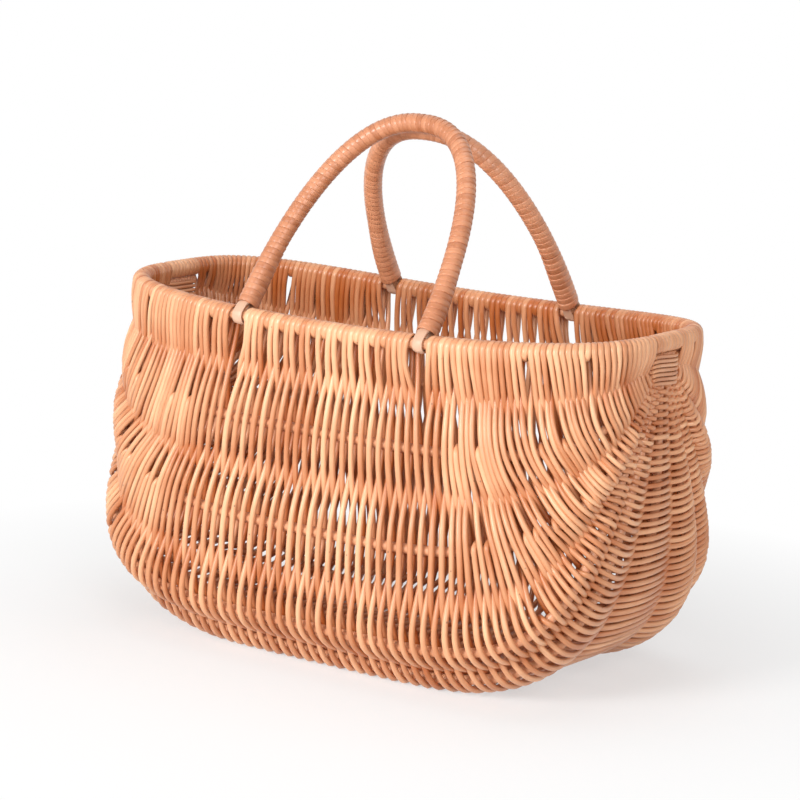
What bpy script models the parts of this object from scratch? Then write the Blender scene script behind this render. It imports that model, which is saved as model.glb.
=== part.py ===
"""Willow shopping basket with two swing handles, built the way a frame basket is made.

A closed rim hoop carries nine lengthwise ribs, whose thinned ends fan together
under the middle of each end of the rim. Long willow strands run crosswise, over
the front rim, down the wall, under the floor and up to the back rim. They pass
outside and inside of the ribs by turns, and each strand wraps the rim, or an
upper rib where a row is cut short, and comes back as the next row. Two lapped
handles end in tongues that loop round the bare rim rod, so they swing on it.

Units are metres, +Z is up, the length lies along X and the front faces -Y.
The origin is on the ground under the middle of the basket.
"""
import math

import bmesh
import bpy
import numpy as np
from mathutils import Matrix, Vector

# Rim hoop, measured to the middle of its rod
RIM_HALF_LENGTH = 0.200
RIM_HALF_WIDTH = 0.0914
RIM_SQUARENESS = 3.4
RIM_HEIGHT = 0.2277
RIM_END_RISE = 0.0079
RIM_ROD_RADIUS = 0.00375

# Ribs: half length, half width and height of the rod's middle at mid-length,
# and squareness of the curve. The floor ribs take their height from the strands.
UPPER_RIB = (0.2005, 0.0953, 0.1607, 3.56)
LOWER_RIB = (0.2045, 0.1035, 0.0962, 3.48)
CORNER_RIB = (0.1985, 0.1044, 0.0322, 4.70)
FLOOR_RIB_HALF_LENGTH = 0.2010
FLOOR_RIB_HALF_WIDTH = 0.0810
FLOOR_RIB_SQUARENESS = 4.23
RIB_RADIUS = 0.0033
RIB_TIP_RADIUS = 0.0013
RIB_TAPER_LENGTH = 0.090
FAN_DROP = 0.0206
FAN_SPACING = 0.0031
FAN_HALF_LENGTH = 0.2000
SEAT_CLEARANCE = 0.0003

# Woven strands
STRAND_ROWS = 52
ROWS_PER_STRAND = 4
STRAND_HALF_WIDTH = 0.0028
STRAND_HALF_DEPTH = 0.0017
THIN_STRAND_SHARE = 0.62
THIN_STRAND_REACH = 0.090
RIM_WRAP_HALF_DEPTH = 0.0012
WEAVE_CLEARANCE = 0.0005
FIRST_ROW_BELOW_FAN = 0.038
FIRST_ROW_ON_RIM = 0.034
HANDLE_GAP_IN_WRAPS = 0.0165
STANDING_FLAT_LENGTH = 0.0055
STANDING_FLAT_DEPTH = 0.0006
SHORT_ROWS_FRONT = {1: 2, 2: 1, 10: 1, 11: 2}
SHORT_ROWS_BACK = {1: 2, 2: 1, 10: 1, 11: 2}

# Windings at the two ends of the rim
END_WRAP_TURNS = 2
END_WRAP_START = 0.0275
END_WRAP_FINISH = 0.0175
LASHING_BARS = 4
LASHING_HALF_WIDTH = 0.0011
LASHING_HALF_DEPTH = 0.0009

# Handles: feet along X, arch height up the lean, lean from upright, squareness
FRONT_HANDLE_FEET = (-0.0715, 0.0751)
FRONT_HANDLE_REACH = 0.1586
FRONT_HANDLE_LEAN = math.radians(36.1)
FRONT_HANDLE_SQUARENESS = 2.34
FRONT_HANDLE_SKEW = 0.0007
BACK_HANDLE_FEET = (-0.0771, 0.0727)
BACK_HANDLE_REACH = 0.1423
BACK_HANDLE_LEAN = math.radians(31.2)
BACK_HANDLE_SQUARENESS = 2.31
BACK_HANDLE_SKEW = -0.0025
CORE_RADIUS = 0.0046
TONGUE_HALF_WIDTH = 0.0040
TONGUE_HALF_DEPTH = 0.0010
TONGUE_TAIL_HALF_WIDTH = 0.0028
TONGUE_TAIL_LENGTH = 0.046
TONGUE_CLEARANCE = 0.0007
TONGUE_SHOULDER_OFFSET_SHARE = 0.85
TONGUE_SHOULDER_DEPTH_SHARE = 1.3
TONGUE_ROOT_OFFSET_SHARE = 0.40
TONGUE_ROOT_DEPTH_SHARE = 0.60
CORE_ROUND_START = 0.0272
LAPPING_PITCH = 0.0118
LAPPING_HALF_WIDTH = 0.0044
LAPPING_HALF_DEPTH = 0.00075
LAPPING_START = 0.0165
LAPPING_CLEARANCE = 0.0004
LAPPING_OVAL_HOLD = 0.004
LAPPING_OVAL_FADE = 0.014
LAPPING_OVAL_WIDENING = 0.10
LAPPING_OVAL_SLACK = 0.0012

# Tones of the willow, linear red, green and blue
RIM_TONE = (0.66, 0.37, 0.21)
RIB_TONE = (0.60, 0.32, 0.17)
STRAND_TONE = (0.66, 0.37, 0.20)
STRAND_TONE_RANGE = 0.03
RIM_WRAP_TONE = (0.70, 0.42, 0.25)
LASHING_TONE = (0.68, 0.40, 0.23)
CORE_TONE = (0.72, 0.47, 0.29)
LAPPING_TONE = (0.58, 0.28, 0.15)
WILLOW_ROUGHNESS = 0.45

# Ring counts and how the curves are sampled
CURVE_SAMPLES = 3000
RIB_RINGS = 26
LIFT_ROUNDS = 24
HALF_RIM_RINGS = 30
ARCH_RINGS = 24
POINTS_PER_WINDING_TURN = 8
BEND_WEIGHT = 0.060

RIB_COUNT = 9
MIDDLE_RIB = (RIB_COUNT + 1) // 2
BACK_RIM = RIB_COUNT + 1
RIM_TOP_ANGLES = np.radians((45.0, 90.0, 135.0))
WRAP_HALF_STEP = math.radians(22.5)
STEEPEST_CROSSING = 0.80
UP = np.array((0.0, 0.0, 1.0))
WALL_CENTRE = np.array((0.0, 0.0, 0.6 * RIM_HEIGHT))

RIB_NAMES = (
    "front_upper_rib",
    "front_lower_rib",
    "front_corner_rib",
    "front_floor_rib",
    "centre_floor_rib",
    "back_floor_rib",
    "back_corner_rib",
    "back_lower_rib",
    "back_upper_rib",
)

SQUARE = np.array(((1.0, 1.0), (-1.0, 1.0), (-1.0, -1.0), (1.0, -1.0)))


def round_profile(sides):
    """Corners of a regular section whose first flat faces the normal."""
    angles = (np.arange(sides) + 0.5) * 2.0 * math.pi / sides + 0.5 * math.pi
    return np.stack((np.cos(angles), np.sin(angles)), axis=1)


def unit(vectors):
    """Vectors scaled to length one."""
    return vectors / np.linalg.norm(vectors, axis=-1, keepdims=True)


def smooth_step(value):
    """0 below 0, 1 above 1 and an even S between."""
    clipped = np.clip(value, 0.0, 1.0)
    return clipped * clipped * (3.0 - 2.0 * clipped)


def tangents_of(points, closed=False):
    """Unit direction of a polyline at each of its points."""
    if closed:
        return unit(np.roll(points, -1, axis=0) - np.roll(points, 1, axis=0))
    steps = unit(np.diff(points, axis=0))
    blended = np.vstack((steps[:1], steps[:-1] + steps[1:], steps[-1:]))
    return unit(blended)


def lengths_along(points):
    """Distance walked along a polyline at each of its points."""
    steps = np.linalg.norm(np.diff(points, axis=0), axis=1)
    return np.concatenate(((0.0,), np.cumsum(steps)))


def resample(points, count):
    """Points at even steps of length plus a share of the turning, so bends get more."""
    directions = unit(np.diff(points, axis=0))
    turning = np.arccos(np.clip((directions[1:] * directions[:-1]).sum(axis=1), -1.0, 1.0))
    steps = np.linalg.norm(np.diff(points, axis=0), axis=1)
    steps[1:] += BEND_WEIGHT * turning
    walked = np.concatenate(((0.0,), np.cumsum(steps)))
    places = np.linspace(0.0, walked[-1], count)
    return np.stack([np.interp(places, walked, points[:, axis]) for axis in range(3)], axis=1)


def along(points, places):
    """Points of a polyline at the given distances from its start."""
    walked = lengths_along(points)
    return np.stack([np.interp(places, walked, points[:, axis]) for axis in range(3)], axis=-1)


def directions_along(points, places, reach=0.004):
    """Unit direction of a polyline at the given distances."""
    return unit(along(points, places + reach) - along(points, places - reach))


def superellipse(angle, squareness):
    """Cosine-like and sine-like parts of a rounded rectangle, both from 0 to 1 in size."""
    cosine = np.cos(angle)
    sine = np.sin(angle)
    power = 2.0 / squareness
    return np.sign(cosine) * np.abs(cosine) ** power, np.abs(sine) ** power


def stand_off(rod_radius, half_depth, spacing):
    """Offset of a strand's middle from a rod's middle so that it clears it on a slope."""
    reach = rod_radius + half_depth + WEAVE_CLEARANCE
    slope = np.minimum(2.0 * reach / spacing, STEEPEST_CROSSING)
    return reach / np.sqrt(1.0 - slope ** 2)


def floor_rib_height():
    """Height of the floor ribs, set by the strands that pass under them."""
    spacing = CORNER_RIB[1] - FLOOR_RIB_HALF_WIDTH
    spacing = math.hypot(spacing, CORNER_RIB[2] - STRAND_HALF_DEPTH * 4.0)
    return float(stand_off(RIB_RADIUS, STRAND_HALF_DEPTH, spacing)) + STRAND_HALF_DEPTH


def fan_height():
    """Height at which the ribs' ends come together."""
    return RIM_HEIGHT + RIM_END_RISE - FAN_DROP


def stem_length():
    """Length of the upright ends of the ribs, from the fan to the rim's underside."""
    return FAN_DROP - RIM_ROD_RADIUS - SEAT_CLEARANCE


def half_rim(side):
    """Middle of the rim rod from its +X end to its -X end, side -1 for the front."""
    angle = np.linspace(0.0, math.pi, CURVE_SAMPLES)
    lengthwise, crosswise = superellipse(angle, RIM_SQUARENESS)
    height = RIM_HEIGHT + RIM_END_RISE * lengthwise ** 2
    return np.stack((RIM_HALF_LENGTH * lengthwise, side * RIM_HALF_WIDTH * crosswise, height), axis=1)


def rib_sizes(number):
    """Half length, signed half width, height and squareness of rib 1 to 9."""
    side = -1.0 if number < MIDDLE_RIB else 1.0
    from_edge = min(number, BACK_RIM - number)
    if from_edge == 1:
        half_length, half_width, height, squareness = UPPER_RIB
    elif from_edge == 2:
        half_length, half_width, height, squareness = LOWER_RIB
    elif from_edge == 3:
        half_length, half_width, height, squareness = CORNER_RIB
    else:
        half_length = FLOOR_RIB_HALF_LENGTH
        half_width = FLOOR_RIB_HALF_WIDTH if number != MIDDLE_RIB else 0.0
        height = floor_rib_height()
        squareness = FLOOR_RIB_SQUARENESS
    return half_length, side * half_width, height, squareness


def rib_curve(number):
    """Middle of a rib: x follows the long part of a rounded rectangle, and the drop
    and spread from the fan follow the other part."""
    half_length, half_width, height, squareness = rib_sizes(number)
    angle = np.linspace(0.0, math.pi, CURVE_SAMPLES)
    lengthwise, drop = superellipse(angle, squareness)
    reach = FAN_HALF_LENGTH + (half_length - FAN_HALF_LENGTH) * smooth_step(drop * 2.0)
    fan_y = (number - MIDDLE_RIB) * FAN_SPACING
    spread = fan_y + (half_width - fan_y) * drop
    level = fan_height() + (height - fan_height()) * drop
    return np.stack((reach * lengthwise, spread, level), axis=1)


def rod_radius(number, places, total):
    """Radius of rod 0 to 10 at distances along it: the rim is even, the ribs taper."""
    if number in (0, BACK_RIM):
        return np.full_like(places, RIM_ROD_RADIUS)
    from_fan = np.minimum(places, total - places) - stem_length()
    share = smooth_step(from_fan / RIB_TAPER_LENGTH)
    return RIB_TIP_RADIUS + (RIB_RADIUS - RIB_TIP_RADIUS) * share


def make_material(name, colour):
    """Plain willow finish of one tone."""
    material = bpy.data.materials.new(name)
    material.use_nodes = True
    shader = material.node_tree.nodes["Principled BSDF"]
    shader.inputs["Base Color"].default_value = (*colour, 1.0)
    shader.inputs["Roughness"].default_value = WILLOW_ROUGHNESS
    shader.inputs["Metallic"].default_value = 0.0
    material.diffuse_color = (*colour, 1.0)
    return material


def inner_sides(centres, closed):
    """For each run of a path, a vector towards the inner side of its bend."""
    if closed:
        before = np.roll(centres, 1, axis=0) - centres
        after = np.roll(centres, -2, axis=0) - np.roll(centres, -1, axis=0)
        return before + after
    padded = np.vstack((centres[:1], centres, centres[-1:]))
    return padded[:-3] - padded[1:-2] + padded[3:] - padded[2:-1]


def join_rings(builder, near, far, bend):
    """Triangles between two rings, split along the diagonals on the outer side of the
    bend, so that a twisted face never cuts in towards the rod that it goes round."""
    bend = Vector(bend)
    count = len(near)
    for corner in range(count):
        following = (corner + 1) % count
        rising = (near[corner].co + far[following].co).dot(bend)
        falling = (near[following].co + far[corner].co).dot(bend)
        if rising < falling:
            builder.faces.new((near[corner], near[following], far[following]))
            builder.faces.new((near[corner], far[following], far[corner]))
        else:
            builder.faces.new((near[corner], near[following], far[corner]))
            builder.faces.new((near[following], far[following], far[corner]))


def sweep(name, centres, normals, half_width, half_depth, profile, colour, closed=False, flat=0.0):
    """Carry a section along a path. The section's first axis lies across the path and
    its second along the normals. flat presses what lies lower than it onto the ground."""
    directions = tangents_of(centres, closed)
    normals = unit(normals - directions * (normals * directions).sum(axis=1, keepdims=True))
    across = np.cross(directions, normals)
    half_width = np.broadcast_to(half_width, len(centres))[:, None, None]
    half_depth = np.broadcast_to(half_depth, len(centres))[:, None, None]
    rings = centres[:, None, :] + across[:, None, :] * half_width * profile[None, :, :1]
    rings = rings + normals[:, None, :] * half_depth * profile[None, :, 1:]
    if flat:
        rings[..., 2] = np.where(rings[..., 2] < flat, 0.0, rings[..., 2])

    mesh = bpy.data.meshes.new(name)
    builder = bmesh.new()
    loops = [[builder.verts.new(corner) for corner in ring] for ring in rings]
    ring_pairs = list(zip(loops[:-1], loops[1:]))
    if closed:
        ring_pairs.append((loops[-1], loops[0]))
    bends = inner_sides(centres, closed)
    for (near, far), bend in zip(ring_pairs, bends):
        join_rings(builder, near, far, bend)
    if not closed:
        builder.faces.new(list(reversed(loops[0])))
        builder.faces.new(loops[-1])
    bmesh.ops.triangulate(builder, faces=builder.faces[:])
    bmesh.ops.recalc_face_normals(builder, faces=builder.faces[:])
    builder.to_mesh(mesh)
    builder.free()
    mesh.shade_smooth()
    mesh.set_sharp_from_angle(angle=math.radians(40.0))
    piece = bpy.data.objects.new(name, mesh)
    bpy.context.collection.objects.link(piece)
    mesh.materials.append(make_material(name + "_willow", colour))
    return piece


def build_rods():
    """Polylines of rods 0 to 10: the two half rims and the nine ribs between them."""
    rods = [resample(half_rim(-1.0), HALF_RIM_RINGS)]
    stem = UP * stem_length()
    for number in range(1, BACK_RIM):
        curve = resample(rib_curve(number), RIB_RINGS)
        rods.append(np.vstack((curve[:1] + stem, curve, curve[-1:] + stem)))
    rods.append(resample(half_rim(1.0), HALF_RIM_RINGS))
    return rods


def build_rim(rods):
    """The rim hoop: both half rims joined at the ends."""
    hoop = np.vstack((rods[0], rods[BACK_RIM][-2:0:-1]))
    outward = hoop * np.array((1.0, 1.0, 0.0))
    sweep("rim_hoop", hoop, unit(outward), RIM_ROD_RADIUS, RIM_ROD_RADIUS,
          round_profile(8), RIM_TONE, closed=True)


def build_ribs(rods):
    """The nine ribs, each a tapered rod."""
    for number in range(1, BACK_RIM):
        path = rods[number]
        places = lengths_along(path)
        radius = rod_radius(number, places, places[-1])
        sweep(RIB_NAMES[number - 1], path, unit(path - WALL_CENTRE), radius, radius,
              round_profile(6), RIB_TONE)


def turn_rib(row, short_rows, at_front):
    """Rod that a row turns on at one side: 0 is the rim, 1 and 2 are upper ribs."""
    strand = row // ROWS_PER_STRAND
    place = row % ROWS_PER_STRAND
    turns_here = (1, 2) if at_front else (0, 1)
    return short_rows.get(strand, 0) if place in turns_here else 0


def row_limits():
    """First and last rod that each row crosses."""
    first = [turn_rib(row, SHORT_ROWS_FRONT, True) for row in range(STRAND_ROWS)]
    last = [BACK_RIM - turn_rib(row, SHORT_ROWS_BACK, False) for row in range(STRAND_ROWS)]
    return np.array(first), np.array(last)


def rim_places(rim, rows, feet, pairs_start):
    """Even places on a half rim for the rows that reach it, with a gap at each foot.
    pairs_start tells how many rows come before the first pair that turns together."""
    walked = lengths_along(rim)
    total = walked[-1]
    foot_places = sorted(np.interp(-foot, -rim[:, 0], walked) for foot in feet)
    half_gap = 0.5 * HANDLE_GAP_IN_WRAPS + STRAND_HALF_WIDTH
    starts = [FIRST_ROW_ON_RIM] + [place + half_gap for place in foot_places]
    ends = [place - half_gap for place in foot_places] + [total - FIRST_ROW_ON_RIM]
    usable = np.array(ends) - np.array(starts)
    shares = np.cumsum(usable) / usable.sum() * len(rows)
    cuts = [0]
    for share in shares[:-1]:
        cuts.append(int(round((share - pairs_start) / 2.0)) * 2 + pairs_start)
    cuts.append(len(rows))
    places = np.zeros(len(rows))
    for start, end, low, high in zip(starts, ends, cuts[:-1], cuts[1:]):
        places[low:high] = np.linspace(start, end, high - low)
    return places


def row_places(rods, first, last):
    """Distance along each rod at which each row crosses it, as rows by rods."""
    table = np.zeros((STRAND_ROWS, BACK_RIM + 1))
    for number, rod in enumerate(rods):
        rows = np.flatnonzero((first <= number) & (number <= last))
        total = lengths_along(rod)[-1]
        if number == 0:
            table[rows, number] = rim_places(rod, rows, FRONT_HANDLE_FEET, 1)
        elif number == BACK_RIM:
            table[rows, number] = rim_places(rod, rows, BACK_HANDLE_FEET, 0)
        else:
            margin = FIRST_ROW_BELOW_FAN + stem_length()
            table[rows, number] = np.linspace(margin, total - margin, len(rows))
    return table


def spline_weights(value, low, high):
    """Four rods around a place between rods and the Catmull-Rom weight of each."""
    base = min(int(math.floor(value)), high - 1)
    t = value - base
    weights = (
        -0.5 * t + t * t - 0.5 * t ** 3,
        1.0 - 2.5 * t * t + 1.5 * t ** 3,
        0.5 * t + 2.0 * t * t - 1.5 * t ** 3,
        -0.5 * t * t + 0.5 * t ** 3,
    )
    return [(base + step - 1, weight) for step, weight in enumerate(weights)]


def row_geometry(rods, places, row, low, high):
    """Crossing points of a row, the wall's outward normals there, the direction from
    rod to rod, and the distance to the nearest neighbour crossing."""
    numbers = np.arange(low, high + 1)
    crossing = np.array([along(rods[n], places[row, n]) for n in numbers])
    lengthwise = np.array([directions_along(rods[n], places[row, n]) for n in numbers])
    padded = np.vstack((2 * crossing[0] - crossing[1], crossing, 2 * crossing[-1] - crossing[-2]))
    downwards = unit(padded[2:] - padded[:-2])
    normals = unit(np.cross(downwards, lengthwise))
    facing = np.sign((normals * (crossing - WALL_CENTRE)).sum(axis=1, keepdims=True))
    normals = normals * facing
    steps = np.linalg.norm(np.diff(crossing, axis=0), axis=1)
    spacing = np.minimum(np.append(steps, steps[-1]), np.insert(steps, 0, steps[0]))
    return crossing, normals, downwards, spacing


def row_thickness(rods, places, row):
    """Share of the full thickness that a row has: rows near the ends are thinner."""
    middle_rod = rods[MIDDLE_RIB]
    total = lengths_along(middle_rod)[-1]
    place = places[row, MIDDLE_RIB]
    from_fan = min(place, total - place) - FIRST_ROW_BELOW_FAN - stem_length()
    share = smooth_step(from_fan / THIN_STRAND_REACH)
    return THIN_STRAND_SHARE + (1.0 - THIN_STRAND_SHARE) * share


def side_of(row, number):
    """1.0 where a row passes outside a rod and -1.0 where it passes inside."""
    return 1.0 if (row + number) % 2 == 0 else -1.0


def depth_at(number, thickness):
    """Half depth of a strand at a rod: it is pressed flatter where it wraps the rim."""
    if number in (0, BACK_RIM):
        return RIM_WRAP_HALF_DEPTH * thickness
    return STRAND_HALF_DEPTH * thickness


def lift_at(rods, places, row, number, spacing, thickness, wraps):
    """Distance of a strand's middle from the middle of the rod that it crosses."""
    rod = rods[number]
    radius = rod_radius(number, places[row, number], lengths_along(rod)[-1])
    depth = depth_at(number, thickness)
    if wraps:
        return (radius + WEAVE_CLEARANCE) / math.cos(WRAP_HALF_STEP) + depth
    return float(stand_off(radius, depth, spacing))


def row_stations(row, low, high, spacing):
    """Places between rods at which a row has a ring, each with its rod or None. A row
    has two rings under a floor rib, so that it stands on a flat, and one between rods
    except across the level floor."""
    stations = []
    for number in range(low, high + 1):
        on_floor = abs(number - MIDDLE_RIB) <= 1
        if on_floor and side_of(row, number) > 0.0:
            half_step = 0.5 * STANDING_FLAT_LENGTH / spacing[number - low]
            stations.append((number - half_step, number))
            stations.append((number + half_step, number))
        else:
            stations.append((float(number), number))
        level = number in (MIDDLE_RIB - 1, MIDDLE_RIB)
        if number < high and not level:
            stations.append((number + 0.5, None))
    return stations


def distance_to_run(point, direction, start, end):
    """Distance from a rod through a point to the straight run between two centres."""
    start = start - point
    end = end - point
    start = start - direction * float(start @ direction)
    end = end - direction * float(end @ direction)
    run = end - start
    share = float(np.clip(-(start @ run) / (run @ run), 0.0, 1.0))
    return float(np.linalg.norm(start + run * share))


def row_path(rods, places, row, low, high):
    """Centres, normals and half depths of one row from its front rod to its back rod.
    Each lift off a rod grows until the straight runs beside it clear the rod."""
    crossing, normals, downwards, spacing = row_geometry(rods, places, row, low, high)
    thickness = row_thickness(rods, places, row)
    padded = np.vstack((2 * crossing[0] - crossing[1], crossing, 2 * crossing[-1] - crossing[-2]))
    stations = row_stations(row, low, high, spacing)
    bases = [sum(weight * padded[index - low + 1]
                 for index, weight in spline_weights(value, low, high))
             for value, _ in stations]
    lifts, reaches = [], []
    for index, number in enumerate(range(low, high + 1)):
        wraps = number in (low, high)
        lift = lift_at(rods, places, row, number, spacing[index], thickness, wraps)
        lifts.append(lift * side_of(row, number))
        total = lengths_along(rods[number])[-1]
        radius = float(rod_radius(number, places[row, number], total))
        reaches.append(radius + depth_at(number, thickness) + WEAVE_CLEARANCE)
    for _ in range(LIFT_ROUNDS):
        centres, facings, depths = [], [], []
        for (value, number), base in zip(stations, bases):
            before = int(math.floor(value)) - low if number is None else number - low
            if number is None:
                facing = unit(normals[before] + normals[before + 1])
                lift = 0.5 * (lifts[before] + lifts[before + 1])
                depth = STRAND_HALF_DEPTH * thickness
            else:
                facing = normals[before]
                lift = lifts[before]
                depth = depth_at(number, thickness)
            centres.append(base + facing * lift)
            facings.append(facing * side_of(row, 0))
            depths.append(depth)
        for ring, (_, number) in enumerate(stations):
            if number is None:
                continue
            direction = directions_along(rods[number], places[row, number])
            point = crossing[number - low]
            runs = [(ring - 1, ring)] if ring else []
            runs += [(ring, ring + 1)] if ring + 1 < len(centres) else []
            gap = min(distance_to_run(point, direction, centres[start], centres[end])
                      for start, end in runs)
            short = reaches[number - low] - gap
            if short > 0.0:
                lifts[number - low] += short * side_of(row, number)
    frame = dict(normals=normals, downwards=downwards, lifts=lifts, thickness=thickness)
    return centres, facings, depths, frame


def wrap_path(rods, places, number, row_a, row_b, frame_a, frame_b, at_front, angles):
    """Points of a strand going over a rod from the side of row a to that of row b."""
    index = 0 if at_front else -1
    away = -1.0 if at_front else 1.0
    centres = []
    facings = []
    for angle in angles:
        share = angle / math.pi
        place = places[row_a, number] + (places[row_b, number] - places[row_a, number]) * share
        base = along(rods[number], place)
        facing = unit(frame_a["normals"][index] * (1.0 - share) + frame_b["normals"][index] * share)
        over = unit(np.cross(facing, directions_along(rods[number], place)))
        over = over * np.sign(over @ frame_a["downwards"][index]) * away
        lift = abs(frame_a["lifts"][index]) * (1.0 - share) + abs(frame_b["lifts"][index]) * share
        side = side_of(row_a, number)
        radial = facing * math.cos(angle) * side + over * math.sin(angle)
        centres.append(base + radial * lift)
        facings.append(radial * side * side_of(row_a, 0))
    depth = depth_at(number, frame_a["thickness"])
    return centres, facings, [depth] * len(angles)


def build_strands(rods):
    """The woven strands, each one unbroken serpentine of several rows."""
    first, last = row_limits()
    places = row_places(rods, first, last)
    strand_count = STRAND_ROWS // ROWS_PER_STRAND
    for strand in range(strand_count):
        rows = range(strand * ROWS_PER_STRAND, (strand + 1) * ROWS_PER_STRAND)
        paths = [row_path(rods, places, row, first[row], last[row]) for row in rows]
        centres, facings, depths = [], [], []
        start = wrap_path(rods, places, 0, rows[0], rows[0], paths[0][3], paths[0][3],
                          True, RIM_TOP_ANGLES[:2][::-1])
        for part, store in zip(start, (centres, facings, depths)):
            store.extend(part)
        for step, row in enumerate(rows):
            forward = step % 2 == 0
            for part, store in zip(paths[step][:3], (centres, facings, depths)):
                store.extend(part if forward else part[::-1])
            if step + 1 < len(rows):
                at_front = not forward
                number = int(first[row] if at_front else last[row])
                turn = wrap_path(rods, places, number, row, row + 1, paths[step][3],
                                 paths[step + 1][3], at_front, RIM_TOP_ANGLES)
                for part, store in zip(turn, (centres, facings, depths)):
                    store.extend(part)
        finish = wrap_path(rods, places, 0, rows[-1], rows[-1], paths[-1][3], paths[-1][3],
                           True, RIM_TOP_ANGLES[:2])
        for part, store in zip(finish, (centres, facings, depths)):
            store.extend(part)
        thickness = 0.5 * (paths[0][3]["thickness"] + paths[-1][3]["thickness"])
        shift = STRAND_TONE_RANGE * math.sin(2.4 * strand)
        tone = tuple(part + shift for part in STRAND_TONE)
        sweep("weaving_strand_%02d" % (strand + 1), np.array(centres), np.array(facings),
              STRAND_HALF_WIDTH * thickness, np.array(depths), SQUARE, tone,
              flat=STANDING_FLAT_DEPTH)


def build_end_wraps(rods):
    """Plain wraps on the rim, each side of the middle of each end."""
    half_depth = RIM_WRAP_HALF_DEPTH
    chord_share = math.cos(math.pi / POINTS_PER_WINDING_TURN)
    radius = (RIM_ROD_RADIUS + WEAVE_CLEARANCE) / chord_share + half_depth
    steps = np.arange(END_WRAP_TURNS * POINTS_PER_WINDING_TURN + 1)
    angles = steps * 2.0 * math.pi / POINTS_PER_WINDING_TURN
    share = steps / steps[-1]
    for side_name, number in (("front", 0), ("back", BACK_RIM)):
        total = lengths_along(rods[number])[-1]
        for end_name, flip in (("right", False), ("left", True)):
            places = END_WRAP_START + (END_WRAP_FINISH - END_WRAP_START) * share
            places = total - places if flip else places
            base = along(rods[number], places)
            tangent = directions_along(rods[number], places)
            outward = unit(np.cross(tangent, UP))
            upward = np.cross(outward, tangent)
            radial = np.cos(angles)[:, None] * outward + np.sin(angles)[:, None] * upward
            sweep("%s_%s_rim_wrap" % (end_name, side_name), base + radial * radius, radial,
                  STRAND_HALF_WIDTH * THIN_STRAND_SHARE, half_depth, SQUARE, RIM_WRAP_TONE)


def build_lashings(rods):
    """Flat turns that bind the nine upright rib ends of each fan under the rim."""
    top = fan_height() + stem_length() - 2.0 * LASHING_HALF_WIDTH
    pitch = (stem_length() - 3.5 * LASHING_HALF_WIDTH) / LASHING_BARS
    reach = RIB_TIP_RADIUS + LASHING_HALF_DEPTH + WEAVE_CLEARANCE
    half_y = (MIDDLE_RIB - 1) * FAN_SPACING + reach
    quarter = ((-1.0, 1.0), (1.0, 1.0), (1.0, -1.0), (-1.0, -1.0))
    for end_name, end in (("right", 1.0), ("left", -1.0)):
        corners, facings = [], []
        for step in range(LASHING_BARS * 4 + 1):
            across, out = quarter[step % 4]
            level = top - pitch * (LASHING_BARS - step / 4.0)
            corners.append((end * (FAN_HALF_LENGTH + out * reach), across * half_y, level))
            facings.append((end * out, across, 0.0))
        sweep(end_name + "_lashing", np.array(corners), unit(np.array(facings)),
              LASHING_HALF_WIDTH, LASHING_HALF_DEPTH, SQUARE, LASHING_TONE)


def rim_point_at(side, x):
    """Point of the rim rod's middle at a place along X."""
    share = abs(x) / RIM_HALF_LENGTH
    y = side * RIM_HALF_WIDTH * (1.0 - share ** RIM_SQUARENESS) ** (1.0 / RIM_SQUARENESS)
    return np.array((x, y, RIM_HEIGHT + RIM_END_RISE * share ** 2))


def handle_frame(side, feet, lean):
    """Pivot line through the two feet, and the handle plane's upward and facing axes."""
    left = rim_point_at(side, feet[0])
    right = rim_point_at(side, feet[1])
    axis = unit(right - left)
    upright = np.array((0.0, -side * math.sin(lean), math.cos(lean)))
    rise = unit(upright - axis * float(upright @ axis))
    facing = side * np.cross(rise, axis)
    return left, right, axis, rise, facing


def foot_outline():
    """Places of the tongue from the top of its tail, round the rim rod, to the core,
    as offset off the handle plane and height, with half width and half depth."""
    loop = RIM_ROD_RADIUS + TONGUE_CLEARANCE + TONGUE_HALF_DEPTH
    tail = -(CORE_RADIUS + LAPPING_CLEARANCE + TONGUE_HALF_DEPTH)
    wide, thin = TONGUE_HALF_WIDTH, TONGUE_HALF_DEPTH
    places = [
        (tail, TONGUE_TAIL_LENGTH, TONGUE_TAIL_HALF_WIDTH, thin),
        (tail, 0.5 * TONGUE_TAIL_LENGTH, TONGUE_TAIL_HALF_WIDTH, thin),
        (tail, LAPPING_START, TONGUE_TAIL_HALF_WIDTH, thin),
    ]
    for degrees in (180.0, 225.0, 270.0, 315.0, 360.0):
        angle = math.radians(degrees)
        places.append((loop * math.cos(angle), loop * math.sin(angle), wide, thin))
    shoulder = 0.5 * LAPPING_START
    places.append((TONGUE_SHOULDER_OFFSET_SHARE * loop, shoulder, wide,
                   TONGUE_SHOULDER_DEPTH_SHARE * thin))
    places.append((TONGUE_ROOT_OFFSET_SHARE * loop, LAPPING_START, 0.5 * (wide + CORE_RADIUS),
                   TONGUE_ROOT_DEPTH_SHARE * CORE_RADIUS))
    return places


def arch(feet, reach, squareness, skew):
    """Middle of a handle in its own plane: X and height, from the left foot to the right."""
    angle = np.linspace(math.pi, 0.0, CURVE_SAMPLES)
    lengthwise, rise = superellipse(angle, squareness)
    x = 0.5 * (feet[0] + feet[1]) + 0.5 * (feet[1] - feet[0]) * lengthwise + skew * rise
    points = np.stack((x, reach * rise, np.zeros_like(x)), axis=1)
    above = points[:, 1] > CORE_ROUND_START
    return resample(points[above], ARCH_RINGS)


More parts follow.
